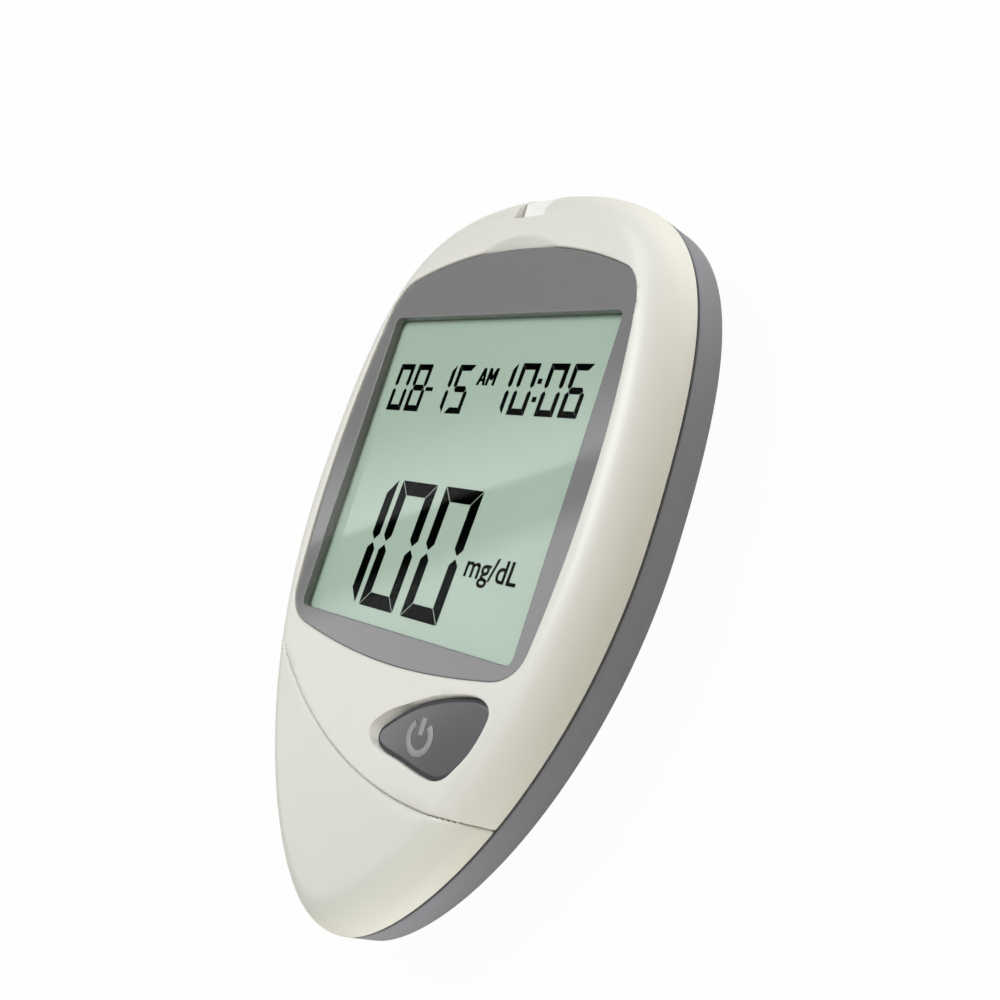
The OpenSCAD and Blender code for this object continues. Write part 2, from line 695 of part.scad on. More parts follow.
// Room for the setting button and its switch
module setting_way() {
    side = set_switch_w / 2;
    block(pocket_x, [pocket_low, bay_low - 1], [back_z - 1, set_floor]);
    block([set_at[0] - side - 0.8, set_at[0] + side + 0.8],
        [set_at[1] - side - slack, set_at[1] + side + slack], [set_floor + 1, 2]);
    post(set_at[0], set_at[1], set_floor - 1, set_floor + 2, set_r + fit);
}
module door_way() {
    slab(back_z - 1, door_seat) door_plan(door_clear);
    tongues([bay_top - eps, door_top + tongue_l + slack],
        [door_seat - snug, door_seat + tongue_t + 0.6], tongue_half + slack);
}
module rear_housing() {
    lip_out = wall + 0.25;
    lip_in = lip_out + 0.7;
    tower = [back_z + 0.8, board_low - 0.2];
    slot_half = tab_half + 0.5;
    color("#86858A") at_seam() {
        difference() {
            union() {
                shell(rear_rings(0), rear_rings(rear_skin), false);
                seam_lip(wall - 0.4, lip_in, -2, rear_z - eps);
                seam_lip(lip_out, lip_in, rear_z - 2 * eps, 0.8);
                block([-door_half, door_half], [bay_low - 1, bay_top + bay_wall], tower);
                block([pocket_x[0] - 1, pocket_x[1] + 1], [pocket_low - 1, bay_low], tower);
                rear_posts();
            }
            bay();
            setting_way();
            door_way();
            for (x = [-cell_x, cell_x])
                block([x - slot_half, x + slot_half], [bay_top - 0.6, bay_top - snug], [-2, 2]);
            screw_ways();
        }
    }
}

// Battery door: two tongues at the top end, a springy catch at the low end
grip_lines = 4;
grip_pitch = 1.3;
grip_w = 0.5;
grip_depth = 0.3;
catch_t = 0.8;
catch_l = 4.5;
module battery_door() {
    catch_x = [set_x + 2.5, set_x + 5.5];
    door_in = door_z + door_t;
    tongue_z = door_seat + fit;
    color("#818085") at_seam() {
        difference() {
            slab(door_z, door_z + door_t) door_plan(0);
            for (i = [0:grip_lines - 1])
                translate([0, door_low + 4 + grip_pitch * i, 0])
                    block([-5, 5], [0, grip_w], [door_z - 1, door_z + grip_depth]);
        }
        tongues([door_top - 1, door_top + tongue_l], [tongue_z, tongue_z + tongue_t], tongue_half);
        tongues([door_top - 1, door_top - snug], [door_in - 0.2, tongue_z + tongue_t], tongue_half);
        block([-0.5, 0.5], [bay_low + 4, bay_top - 6], [door_in - eps, cell_z - cell_r / 2]);
        block(catch_x, [pocket_low + catch_t, pocket_low + 2 * catch_t], [door_in - eps, door_in + catch_l]);
        block(catch_x, [pocket_low + 0.5, pocket_low + 1],
            [door_in + catch_l - 1.1, door_in + catch_l - 0.5]);
    }
}

// Cells and their contacts
nub_l = 1;
nub_r = 1.9;
cell_round = 0.5;
plate_top = bay_top - snug - plate_t;
plate_low = bay_low + snug + plate_t;
plate_half = 3.9;
tab_half = 1.5;
module cell() {
    rotate([90, 0, 0]) rotate_extrude()
        polygon([[0, 0], [nub_r, 0], [nub_r, nub_l], [cell_r - cell_round, nub_l],
            [cell_r, nub_l + cell_round], [cell_r, cell_l - cell_round],
            [cell_r - cell_round, cell_l], [0, cell_l]]);
}
module battery_left() {
    color("#3C6EA8") at_seam() translate([-cell_x, plate_top - fit, cell_z]) cell();
}
module battery_right() {
    color("#3C6EA8") at_seam() translate([cell_x, plate_low + fit, cell_z]) rotate(180) cell();
}
wire_sides = 6;
coil_rings = 8;
function coil_point(q) =
    let (r = spring_r * (1 - q / 2), a = 360 * spring_turns * q)
    [r * cos(a), spring_wire / 2 + (spring_l - spring_wire - snug) * q, r * sin(a)];
function coil_ring(q) =
    let (c = coil_point(q), a = 360 * spring_turns * q, w = spring_wire / 2)
    [for (k = [0:wire_sides - 1]) let (b = 360 * k / wire_sides)
        c + [w * cos(b) * cos(a), w * sin(b), w * cos(b) * sin(a)]];
module contact_spring() {
    last = spring_turns * coil_rings;
    n = wire_sides;
    polyhedron(
        points = [for (i = [0:last]) each coil_ring(i / last)],
        faces = concat(
            [for (k = [1:n - 2]) [0, k + 1, k]],
            [for (i = [0:last - 1], k = [0:n - 1])
                let (a = i * n + k, b = i * n + (k + 1) % n) each [[a, b, b + n], [a, b + n, a + n]]],
            [for (k = [1:n - 2]) [last * n, last * n + k, last * n + k + 1]]));
}
module battery_springs() {
    color("#C8CAD0") at_seam() {
        translate([-cell_x, plate_low, cell_z]) contact_spring();
        translate([cell_x, plate_top, cell_z]) rotate(180) contact_spring();
    }
}
module battery_plates() {
    z = [cell_z - plate_half, cell_z + plate_half];
    color("#BFC1C6") at_seam() {
        block([-bay_half + 0.6, bay_half - 0.6], [plate_top, plate_top + plate_t], z);
        for (x = [-cell_x, cell_x]) {
            block([x - plate_half - 0.5, x + plate_half + 0.5], [plate_low - plate_t, plate_low], z);
            block([x - tab_half, x + tab_half], [plate_top, plate_top + plate_t],
                [z[1] - eps, board_low - fit]);
        }
    }
}

// Setting button in the battery bay
set_travel = 0.35;
set_plunger_low = set_floor + 1.45;
set_plunger_r = 0.8;
module set_button() {
    color("#E8E8E4") at_seam() {
        post(set_at[0], set_at[1], set_floor - 0.9, set_floor + 1.1, set_r);
        post(set_at[0], set_at[1], set_floor + 1.05, set_plunger_low, set_head);
    }
}
module set_switch() {
    color("#2A2A2C") at_seam()
        tact_body(set_at[0], set_at[1], set_switch_w, board_low - 0.8, board_low, set_plunger_r);
}
module set_plunger() {
    color("#D8B95A") at_seam()
        post(set_at[0], set_at[1], set_plunger_low, board_low - set_travel - stop_gap, set_plunger_r);
}

// Fasteners
module screw(x, y, seat, tip, r, head) {
    point_l = 1;
    difference() {
        union() {
            post(x, y, seat - head_t, seat, head);
            post(x, y, seat - eps, tip - point_l, r);
            translate([x, y, tip - point_l - eps]) cylinder(r1 = r, r2 = 0.3, h = point_l);
        }
        for (a = [0, 90])
            translate([x, y, seat - head_t]) rotate(a) cube([head, 0.35, 1], center = true);
    }
}
module housing_screws() {
    color("#9A9CA1") at_seam()
        for (s = [-1, 1]) {
            screw(s * screw_x_top, screw_y_top, screw_seat, inner_h - screw_bite, screw_d / 2, head_r);
            screw(s * screw_x_low, screw_y_low, screw_seat, inner_h - screw_bite - slack,
                screw_d / 2, head_r);
        }
}
module board_screws() {
    color("#A9ABB0") at_seam()
        for (p = board_screw_at) screw(p[0], p[1], board_low, inner_h - slack, pin_d / 2, pin_d + snug);
}

front_cover();
chin_cover();
display_bezel();
display_window();
display_gasket();
lcd_panel();
lcd_holder();
zebra_strips();
circuit_board();
microcontroller();
crystal();
small_parts();
buzzer();
main_button();
button_switch();
switch_plunger();
strip_guide();
strip_connector();
strip_contacts();
rear_housing();
battery_door();
battery_left();
battery_right();
battery_springs();
battery_plates();
set_button();
set_switch();
set_plunger();
housing_screws();
board_screws();
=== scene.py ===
import math

import bmesh
import bpy
import numpy as np
from mathutils import Matrix, Vector, geometry


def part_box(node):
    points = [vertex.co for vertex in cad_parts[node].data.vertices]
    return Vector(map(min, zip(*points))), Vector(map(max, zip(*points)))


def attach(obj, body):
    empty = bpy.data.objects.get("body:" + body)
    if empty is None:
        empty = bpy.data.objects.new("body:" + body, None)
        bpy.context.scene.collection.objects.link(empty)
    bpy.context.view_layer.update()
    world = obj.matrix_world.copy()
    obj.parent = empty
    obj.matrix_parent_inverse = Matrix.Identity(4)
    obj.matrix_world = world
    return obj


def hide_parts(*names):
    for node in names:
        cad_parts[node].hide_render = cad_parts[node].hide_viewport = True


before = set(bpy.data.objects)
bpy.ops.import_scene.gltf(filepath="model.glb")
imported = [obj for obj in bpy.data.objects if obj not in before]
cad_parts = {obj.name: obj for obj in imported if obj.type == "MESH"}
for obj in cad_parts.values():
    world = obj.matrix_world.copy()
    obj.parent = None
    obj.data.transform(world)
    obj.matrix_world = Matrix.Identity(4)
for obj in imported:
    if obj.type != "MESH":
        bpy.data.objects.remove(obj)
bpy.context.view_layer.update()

MM = 0.001
SHARP = 32  # degrees over which an edge shows as sharp

# ---- sizes, as in the part's source
SEAM = 13.4  # joint plane above the resting face
HALF_W, HALF_L = 30.5, 48.0
BEZEL_HALF, BEZEL_TOP, BEZEL_LOW = 25.2, 39.1, -15.0
WINDOW_HALF, WINDOW_LOW, WINDOW_TOP = 21.7, -11.1, 30.3
WIDE_Y = 6.0  # widest place of the body
COVER_H, CROWN = 6.06, 0.18
SHOULDER_W, SHOULDER_FULL = 4.36, 1.81
CHIN_DROP, FALL_FROM = 0.13, BEZEL_LOW + 10
FACE_T, WALL = 2.1, 1.6
REAR_WALL_H, BELLY_H, BELLY_IN, BELLY_FULL = 4.3, 9.1, np.array([13.0, 8.0]), 1.2
HALF_SIZE = np.array([HALF_W, HALF_L])
REAR_SKIN = 1.8
BACK_Z = -SEAM
LENS_Z, BEZEL_T, WINDOW_T = 5.75, 1.0, 0.9
BEZEL_SEAT = LENS_Z - BEZEL_T
LCD_Z, LCD_T, LCD_HALF, LCD_LOW, LCD_TOP = 4.35, 1.6, 22.7, -13.0, 31.5
SLACK = 0.3
CHIN_LINE, CHIN_LINE_R, CHIN_GAP = np.array([12.7, 26.7]), 56.0, 0.09
BUTTON_MID = np.array([11.8, -21.3])
BUTTON_GAP, BUTTON_FLANGE, BUTTON_DOME_R = 0.26, 0.5, 95.0
BUTTON_TOP = LENS_Z + 0.12
SHADOW_RING_LOW = 0.16  # depth of the dark ring of painted shadow round the button, below the button's face
FLANGE_TOP, FLANGE_T = 3.54, 0.8
PORT_HALF, PORT_START, PORT_FLOOR = 2.75, 43.3, 1.4
SCOOP_Y, SCOOP_R, SCOOP_BALL = 26.8, 14.0, 24.0
DOOR_HALF, DOOR_LOW, DOOR_TOP, DOOR_ROUND = 12.2, -26.5, 33.0, 5.0
DOOR_Z, DOOR_T, DOOR_SEAT = -13.25, 1.1, -12.05
BAY_HALF, BAY_LOW, BAY_TOP, BAY_FLOOR = 11.0, -19.0, 31.0, -1.2
SCREWS = [(13.0, 36.5), (-13.0, 36.5), (8.0, -35.0), (-8.0, -35.0)]
HEAD_R = 1.6
FACE_FIELD, SCOOP_FIELD, BACK_FIELD = 1.25, 0.33, 2.0  # distance of points in these places

BODY_NODES = [
    (0, HALF_L, 0, None, 0.823 * HALF_W),
    (HALF_W, WIDE_Y, -90, 0.679 * (HALF_L - WIDE_Y), 0.544 * (WIDE_Y + HALF_L)),
    (0, -HALF_L, -180, 0.368 * HALF_W, None),
]
BEZEL_NODES = [
    (0, BEZEL_TOP, 0),
    (BEZEL_HALF - 5.4, BEZEL_TOP - 3.45, -21),
    (BEZEL_HALF - 1.85, BEZEL_TOP - 8.5, -80),
    (BEZEL_HALF, BEZEL_LOW + 25, -90),
    (BEZEL_HALF - 1.4, BEZEL_LOW + 5.7, -98.5),
    (BEZEL_HALF - 5.9, BEZEL_LOW + 1.72, -170.5),
    (0, BEZEL_LOW, -180),
]
RIGHT_NODES = [(5.3, 5.6, 10), (8.9, 4, -99), (7.7, 0.3, -116), (5.7, -2.6, -126), (2.6, -4.1, -179),
               (-3.3, -3.5, -187)]


def from_mid(nodes):
    return [(BUTTON_MID[0] + x, BUTTON_MID[1] + y, a) for x, y, a in nodes]


BUTTON_NODES = from_mid([(-1.6, 3.4, 23), *RIGHT_NODES, (-7.75, -2.8, -204), (-7.8, -0.75, -321), (-1.6, 3.4, -337)])
RECESS_NODES = from_mid([(-1.5, 3.65, 25), *RIGHT_NODES, (-8.9, -2.6, -204), (-9.5, -0.95, -308), (-1.5, 3.65, -335)])


# ---- outlines
def unit(angle):
    return np.array([math.cos(math.radians(angle)), math.sin(math.radians(angle))])


def bezier(a, b, steps):
    """Points and outward normals from node a to node b, without the last one."""
    p, q = np.array(a[:2], float), np.array(b[:2], float)
    even = np.linalg.norm(q - p) / (3 * math.cos(math.radians(b[2] - a[2]) / 4) ** 2)
    start = a[4] if len(a) > 4 and a[4] else even
    end = b[3] if len(b) > 3 and b[3] else even
    c = [p, p + start * unit(a[2]), q - end * unit(b[2]), q]
    t = np.arange(steps)[:, None] / steps
    point = (1 - t) ** 3 * c[0] + 3 * (1 - t) ** 2 * t * c[1] + 3 * (1 - t) * t ** 2 * c[2] + t ** 3 * c[3]
    slope = (1 - t) ** 2 * (c[1] - c[0]) + 2 * (1 - t) * t * (c[2] - c[1]) + t ** 2 * (c[3] - c[2])
    normal = np.stack([-slope[:, 1], slope[:, 0]], 1)
    return point, normal / np.linalg.norm(normal, axis=1)[:, None]


class Loop:
    """A closed outline that runs clockwise, with its outward normals."""

    def __init__(self, points, normals):
        self.p, self.n = np.asarray(points, float), np.asarray(normals, float)

    def out(self, d):
        return self.p + d * self.n

    def moved(self, d):
        return Loop(self.out(d), self.n)

    def even(self, count):
        """The same outline with count points at equal distances."""
        p = np.vstack([self.p, self.p[:1]])
        n = np.vstack([self.n, self.n[:1]])
        run = np.concatenate([[0], np.cumsum(np.linalg.norm(np.diff(p, axis=0), axis=1))])
        at = np.arange(count) / count * run[-1]
        points = np.stack([np.interp(at, run, p[:, k]) for k in (0, 1)], 1)
        normals = np.stack([np.interp(at, run, n[:, k]) for k in (0, 1)], 1)
        return Loop(points, normals / np.linalg.norm(normals, axis=1)[:, None])


def traced(nodes, closed=False, steps=160):
    parts = [bezier(a, b, steps) for a, b in zip(nodes, nodes[1:])]
    p = np.vstack([a for a, _ in parts])
    n = np.vstack([b for _, b in parts])
    if closed:
        return Loop(p, n)
    p = np.vstack([p, [nodes[-1][:2]]])
    n = np.vstack([n, [[0, -1]]])
    flip = np.array([-1, 1])
    return Loop(np.vstack([p, p[-2:0:-1] * flip]), np.vstack([n, n[-2:0:-1] * flip]))


def round_rect(x0, x1, y0, y1, r, steps=6):
    corners = [(x1 - r, y1 - r, 90), (x1 - r, y0 + r, 0), (x0 + r, y0 + r, -90), (x0 + r, y1 - r, -180)]
    angles = [(x, y, a - 90 * k / steps) for x, y, a in corners for k in range(steps + 1)]
    n = np.array([unit(a) for _, _, a in angles])
    return Loop(np.array([(x, y) for x, y, _ in angles]) + r * n, n)


def circle(x, y, r, steps=32):
    n = np.array([unit(-360 * k / steps) for k in range(steps)])
    return Loop(np.array([x, y]) + r * n, n)


def inside(ring, q):
    """True for each of the points q that lies inside the ring."""
    hit = np.zeros(len(q), bool)
    for a, b in zip(ring, np.roll(ring, -1, 0)):
        crosses = (a[1] > q[:, 1]) != (b[1] > q[:, 1])
        if a[1] != b[1]:
            hit ^= crosses & (q[:, 0] < (b[0] - a[0]) * (q[:, 1] - a[1]) / (b[1] - a[1]) + a[0])
    return hit


def outside(rings, q):
    """True for each of the points q that lies in none of the rings."""
    return ~np.any([inside(ring, q) for ring in rings], axis=0) if rings else np.ones(len(q), bool)


def away(ring, q):
    """Distance from each of the points q to the nearest point of the ring."""
    nearest = np.full(len(q), 1e9)
    for p in ring:
        nearest = np.minimum(nearest, np.hypot(q[:, 0] - p[0], q[:, 1] - p[1]))
    return nearest


def outward(loop, gap, ring):
    """Distance from each point of a loop, moved out by gap, along its normal to a ring round it."""
    a, side = ring, np.roll(ring, -1, 0) - ring
    found = []
    for p, n in zip(loop.out(gap), loop.n):
        turn = n[0] * side[:, 1] - n[1] * side[:, 0]
        turn[np.abs(turn) < 1e-9] = 1e-9
        d = ((a[:, 0] - p[0]) * side[:, 1] - (a[:, 1] - p[1]) * side[:, 0]) / turn
        t = ((a[:, 0] - p[0]) * n[1] - (a[:, 1] - p[1]) * n[0]) / turn
        good = d[(t >= 0) & (t <= 1) & (d > 0)]
        found.append(good.min() if len(good) and good.min() < 4 else 0.0)
    return np.array(found)


def grid(half_x, half_y, step):
    """A field of points with alternate rows shifted."""
    rows = np.arange(-half_y, half_y + step, step * 0.866)
    return np.array([
        (x + (i % 2) * step / 2, y) for i, y in enumerate(rows) for x in np.arange(-half_x, half_x + step, step)
    ])


body = traced(BODY_NODES, steps=900)
rim = body.even(420)
bezel = traced(BEZEL_NODES).even(400)
button = traced(BUTTON_NODES, closed=True).even(260)
window = round_rect(-WINDOW_HALF, WINDOW_HALF, WINDOW_LOW, WINDOW_TOP, 1)


# ---- mesh helpers
def triangulate(points, rings, keep):
    """Triangles between the points, with the edges of the rings in them, where keep(triangles) is true.
    A ring is a list of indices and whether it closes."""
    edges = []
    for ring, closed in rings:
        pairs = list(zip(ring, ring[1:])) + ([(ring[-1], ring[0])] if closed else [])
        edges += [(int(a), int(b)) for a, b in pairs]
    made = geometry.delaunay_2d_cdt([Vector(map(float, p)) for p in points], edges, [], 0, 1e-6, True)
    source = np.array([o[0] if o else -1 for o in made[3]])
    faces = source[np.array([list(f) for f in made[2]])]
    faces = faces[(faces >= 0).all(1)]
    a, b, c = (points[faces[:, k]] for k in range(3))
    area = (b[:, 0] - a[:, 0]) * (c[:, 1] - a[:, 1]) - (b[:, 1] - a[:, 1]) * (c[:, 0] - a[:, 0])
    faces[area < 0] = faces[area < 0][:, ::-1]
    faces = faces[np.abs(area) > 1e-9]
    return faces[keep(faces)]


def closed_by(top, bottom, faces):
    """A solid between two matched skins, with walls wherever the skins end."""
    n = len(top)
    directed = {(int(f[k]), int(f[(k + 1) % 3])) for f in faces for k in range(3)}
    walls = [(b, a, a + n, b + n) for a, b in directed if (b, a) not in directed]
    lower = [tuple(int(i) + n for i in f[::-1]) for f in faces]
    return np.vstack([top, bottom]), [tuple(map(int, f)) for f in faces] + lower + walls


def joined(*solids):
    verts, faces, first = [], [], 0
    for v, f in solids:
        verts.append(v)
        faces += [tuple(i + first for i in face) for face in f]
        first += len(v)
    return np.vstack(verts), faces


def quads(n, rows, around=True, back=False):
    """Faces between rows of n points. around closes each row, and back joins the last row to the first."""
    return [(k * n + i, k * n + (i + 1) % n, (k + 1) % rows * n + (i + 1) % n, (k + 1) % rows * n + i)
            for k in range(rows if back else rows - 1) for i in range(n if around else n - 1)]


def quarter(r, steps):
    """Inset and drop along a rounded edge, from its wall to its face."""
    return [(r * (1 - math.cos(a)), r * (1 - math.sin(a))) for a in np.linspace(0, math.pi / 2, steps + 1)]


def plate(outer, low, high, holes=(), top_r=0.0, low_r=0.0, dome=None, steps=4, field=1.0):
    """A flat moulding with rounded edges. dome(x, y) gives the height of its top, where that isn't flat."""
    upper = quarter(top_r, steps) + [(top_r + 0.05, 0)] if top_r else [(0, 0)]
    lower = [(low_r + 0.05, 0)] + quarter(low_r, steps)[::-1] if low_r else [(0, 0)]
    verts, faces, ends = [], [], []
    count = 0
    for loop, sign in [(outer, -1)] + [(h, 1) for h in holes]:
        rows = []
        for inset, drop in lower:
            rows.append(np.column_stack([loop.out(sign * inset), np.full(len(loop.p), low + drop)]))
        for inset, drop in upper:
            p = loop.out(sign * inset)
            z = dome(p[:, 0], p[:, 1]) if dome else np.full(len(p), high)
            rows.append(np.column_stack([p, z - drop]))
        n = len(loop.p)
        faces += [tuple(i + count for i in face) for face in quads(n, len(rows))]
        ends.append((count, count + (len(rows) - 1) * n, n))
        verts.append(np.vstack(rows))
        count += len(rows) * n
    verts = np.vstack(verts)
    for side in (0, 1):
        index = [np.arange(e[side], e[side] + e[2]) for e in ends]
        all_index = np.concatenate(index)
        rings = [verts[i][:, :2] for i in index]
        extra = np.zeros((0, 2))
        if dome and side:
            extra = grid(outer.p[:, 0].max() + 1, np.abs(outer.p[:, 1]).max() + 1, field)
            extra = extra[inside(rings[0], extra)]
            extra = extra[away(np.vstack(rings), extra) > 0.45 * field]
        points = np.vstack([verts[all_index][:, :2], extra])
        starts = np.cumsum([0] + [len(i) for i in index])
        local = [(list(range(starts[k], starts[k + 1])), True) for k in range(len(index))]

        def keep(f):
            middle = points[f].mean(1)
            return inside(rings[0], middle) & outside(rings[1:], middle)

        caps = triangulate(points, local, keep)
        lookup = np.concatenate([all_index, np.arange(len(verts), len(verts) + len(extra))])
        if len(extra):
            verts = np.vstack([verts, np.column_stack([extra, dome(extra[:, 0], extra[:, 1])])])
        faces += [tuple(int(i) for i in (lookup[f] if side else lookup[f][::-1])) for f in caps]
    return verts, faces


def box(x, y, z, r=0.1):
    return plate(round_rect(*x, *y, r + 0.1, 3), *z, top_r=r, low_r=r, steps=2)


def in_scene(name, data):
    obj = bpy.data.objects.new(name, data)
    bpy.context.scene.collection.objects.link(obj)
    return obj


def piece(name, solid, material, body="meter", replaces=()):
    """An object from a solid in millimetres that rides on a body."""
    verts, faces = solid
    mesh = bpy.data.meshes.new(name)
    mesh.from_pydata([(x * MM, y * MM, (z + SEAM) * MM) for x, y, z in verts], [], faces)
    shape = bmesh.new()
    shape.from_mesh(mesh)
    bmesh.ops.delete(shape, geom=[v for v in shape.verts if not v.link_faces], context="VERTS")
    bmesh.ops.recalc_face_normals(shape, faces=shape.faces)
    shape.to_mesh(mesh)
    shape.free()
    mesh.shade_smooth()
    mesh.set_sharp_from_angle(angle=math.radians(SHARP))
    mesh.materials.append(material)
    obj = in_scene(name, mesh)
    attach(obj, body)
    if replaces:
        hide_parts(*replaces)


# ---- materials
def linear(value):
    """A display value of 0 to 255 as linear light."""
    c = value / 255
    return c / 12.92 if c <= 0.04045 else ((c + 0.055) / 1.055) ** 2.4


def new_material(name, keep_shader=True):
    """A material, its node tree and its shader, or its output where it gets another shader."""
    m = bpy.data.materials.new(name)
    m.use_nodes = True
    tree = m.node_tree
    if keep_shader:
        return m, tree, tree.nodes["Principled BSDF"]
    tree.nodes.remove(tree.nodes["Principled BSDF"])
    return m, tree, tree.nodes["Material Output"]


def setup(node, values):
    """Sets a node's inputs: a node's output is linked, and anything else is the input's value."""
    for key, value in values.items():
        if isinstance(value, bpy.types.NodeSocket):
            node.id_data.links.new(value, node.inputs[key])
        else:
            node.inputs[key].default_value = value


def add_node(tree, kind, values=None, output=0, **settings):
    """A shader node with its settings and inputs; returns one of its outputs."""
    node = tree.nodes.new("ShaderNode" + kind)
    for key, value in settings.items():
        setattr(node, key, value)
    setup(node, values or {})
    return node.outputs[output]


def material(name, colour, rough, grain=0.0, grain_size=0.12, mottle=0.02, metal=0.0, coat=0.0, spec=0.5):
    """Moulded plastic or metal: a base colour with faint mottling, and a fine grain in roughness and bump."""
    m, tree, shader = new_material(name)
    place = add_node(tree, "TexCoord", output="Object")
    cloud = add_node(tree, "TexNoise", {"Scale": 1 / (9 * MM), "Detail": 3, "Vector": place}, "Fac")
    base = [linear(c) for c in colour]
    mix = add_node(tree, "Mix", {
        "Factor": cloud,
        "A": [c * (1 - mottle) for c in base] + [1],
        "B": [min(1, c * (1 + mottle)) for c in base] + [1],
    }, "Result", data_type="RGBA")
    fine = add_node(tree, "TexNoise", {"Scale": 1 / (grain_size * MM), "Detail": 4, "Vector": place}, "Fac")
    span = add_node(tree, "MapRange", {"Value": fine, "To Min": rough * 0.88, "To Max": min(1, rough * 1.12)})
    setup(shader, {
        "Base Color": mix, "Roughness": span, "Metallic": metal, "Specular IOR Level": spec,
        "Coat Weight": coat, "Coat Roughness": 0.03,
    })
    if grain:
        bump = add_node(tree, "Bump", {"Strength": grain, "Distance": 0.02 * MM, "Height": fine})
        setup(shader, {"Normal": bump})
    return m


def clear(name, tint):
    """Thin clear plastic, matt against glare: it lets light through and mirrors a little, by its angle."""
    m, tree, end = new_material(name, keep_shader=False)
    through = add_node(tree, "BsdfTransparent", {"Color": [linear(c) for c in tint] + [1]})
    gloss = add_node(tree, "BsdfGlossy", {"Roughness": 0.02, "Color": (1, 1, 1, 1)})
    angle = add_node(tree, "Fresnel", {"IOR": 1.15})
    behind = add_node(tree, "NewGeometry", output="Backfacing")
    front = add_node(tree, "Math", {0: 1.0, 1: behind}, operation="SUBTRACT")
    share = add_node(tree, "Math", {0: angle, 1: front}, operation="MULTIPLY")
    setup(end, {"Surface": add_node(tree, "MixShader", {"Fac": share, 1: through, 2: gloss})})
    return m


IVORY = material("ivory_plastic", (228, 228, 222), 0.34, grain=0.12, mottle=0.012)
# The chin cover is the same ivory plastic as the front cover, painted a little darker as painted shade where the chin
# falls away from the light.
IVORY_CHIN_SHADED = material("ivory_chin_painted_shade", (223, 224, 216), 0.36, grain=0.12, mottle=0.012)
GREY = material("grey_housing_plastic", (131, 133, 143), 0.5, grain=0.5, grain_size=0.16, mottle=0.03)
BEZEL_GREY = material("bezel_grey_plastic", (131, 131, 132), 0.06, mottle=0.01)
BUTTON_GREY = material("button_grey_rubber", (99, 99, 103), 0.22, grain=0.35, grain_size=0.1)
MARK_GREY = material("button_mark", (146, 145, 149), 0.45, grain=0.2)
LCD_GREEN = material("display_glass", (187, 204, 191), 0.4, mottle=0.012, coat=1.0, spec=0.2)
INK = material("display_segments", (2, 4, 2), 0.6, mottle=0.05, spec=0.0)
# The gasket is painted a greyish display green in place of dark foam: painted shade of the display under the window's
# edge, lighter than the band's shadow.
GASKET_SHADE_TINT = material("gasket_painted_display_shade", (150, 158, 151), 0.8, grain=0.6, grain_size=0.2, mottle=0.1)
# A dark sheet of painted shade, put in the gaps round the button and along the joint line.
DARK_SHADE = material("dark_painted_shade", (40, 40, 43), 0.6, grain=0.4, grain_size=0.15, mottle=0.06)
WHITE = material("guide_white_plastic", (243, 243, 239), 0.38, grain=0.1, mottle=0.01)
BOARD = material("board_lacquer", (40, 98, 66), 0.35, grain=0.1, mottle=0.08)
BLACK = material("black_plastic", (34, 34, 36), 0.45, grain=0.3, mottle=0.06)
STEEL = material("bright_steel", (200, 202, 208), 0.25, grain=0.1, mottle=0.04, metal=1.0)
GOLD = material("contact_gold", (217, 178, 76), 0.25, grain=0.05, mottle=0.04, metal=1.0)
SLEEVE = material("cell_sleeve", (58, 108, 170), 0.3, grain=0.05, mottle=0.03)
RUBBER = material("contact_rubber", (214, 138, 138), 0.7, grain=0.3, mottle=0.05)
TAN = material("small_parts_ceramic", (184, 147, 90), 0.5, grain=0.2, mottle=0.08)
HOLDER = material("holder_white_plastic", (236, 236, 231), 0.5, grain=0.1, mottle=0.01)
GLASS = clear("clear_window", (250, 252, 251))


# ---- covers
def rise(q, full):
    return np.sin(np.radians(90 * q)) ** (2 / full)


def draw_in(q, full):
    return 1 - np.maximum(np.cos(np.radians(90 * q)), 0) ** (2 / full)


def fall(y):
    return 1 - CHIN_DROP * np.clip((FALL_FROM - y) / (FALL_FROM + HALF_L), 0, 1) ** 2


def polar(points):
    """Angles and radii of an outline's points, in the order of their angles."""
    angle = np.arctan2(points[:, 1], points[:, 0])
    order = np.argsort(angle)
    return angle[order], np.hypot(points[:, 0], points[:, 1])[order]


def radius_at(outline, x, y):
    """Radius of a polar outline in the direction of a point."""
    return np.interp(np.arctan2(y, x), *outline, period=2 * math.pi)


face_rim, body_rim = polar(body.out(-SHOULDER_W)), polar(body.p)


def reach(x, y):
    """How far out on the flat of the face a point lies, from 0 at its middle to 1 at the shoulder."""
    return np.hypot(x, y) / radius_at(face_rim, x, y)


def face_z(x, y):
    z = (COVER_H + CROWN * (1 - reach(x, y) ** 2)) * fall(y)
    flat = np.hypot(x, y - SCOOP_Y)
    centre = COVER_H + math.sqrt(SCOOP_BALL ** 2 - SCOOP_R ** 2)
    ball = centre - np.sqrt(np.maximum(SCOOP_BALL ** 2 - flat ** 2, 0))
    scoop = 0.5 * (z + ball - np.sqrt((z - ball) ** 2 + 0.05 ** 2))
    return np.where((y > BEZEL_TOP - 8) & (flat < SCOOP_R + 2), scoop, z)


# Stations of the shoulder from the joint line to the flat: inset, height, run along the surface
q_rows = np.array([0.085, 0.15, 0.22, 0.3, 0.38, 0.46, 0.54, 0.62, 0.7, 0.78, 0.86, 0.93, 1.0])
row_w = np.concatenate([[0.22, 0.07, 0.005], SHOULDER_W * draw_in(q_rows, SHOULDER_FULL)])
row_z = np.concatenate([[0.19, 0.23, 0.33], COVER_H * rise(q_rows, SHOULDER_FULL)])
row_q = np.concatenate([[0, 0, 0.02], q_rows])
row_run = np.concatenate([[0], np.cumsum(np.hypot(np.diff(row_w), np.diff(row_z)))])
row_flat = SHOULDER_W - (row_run[-1] - row_run)


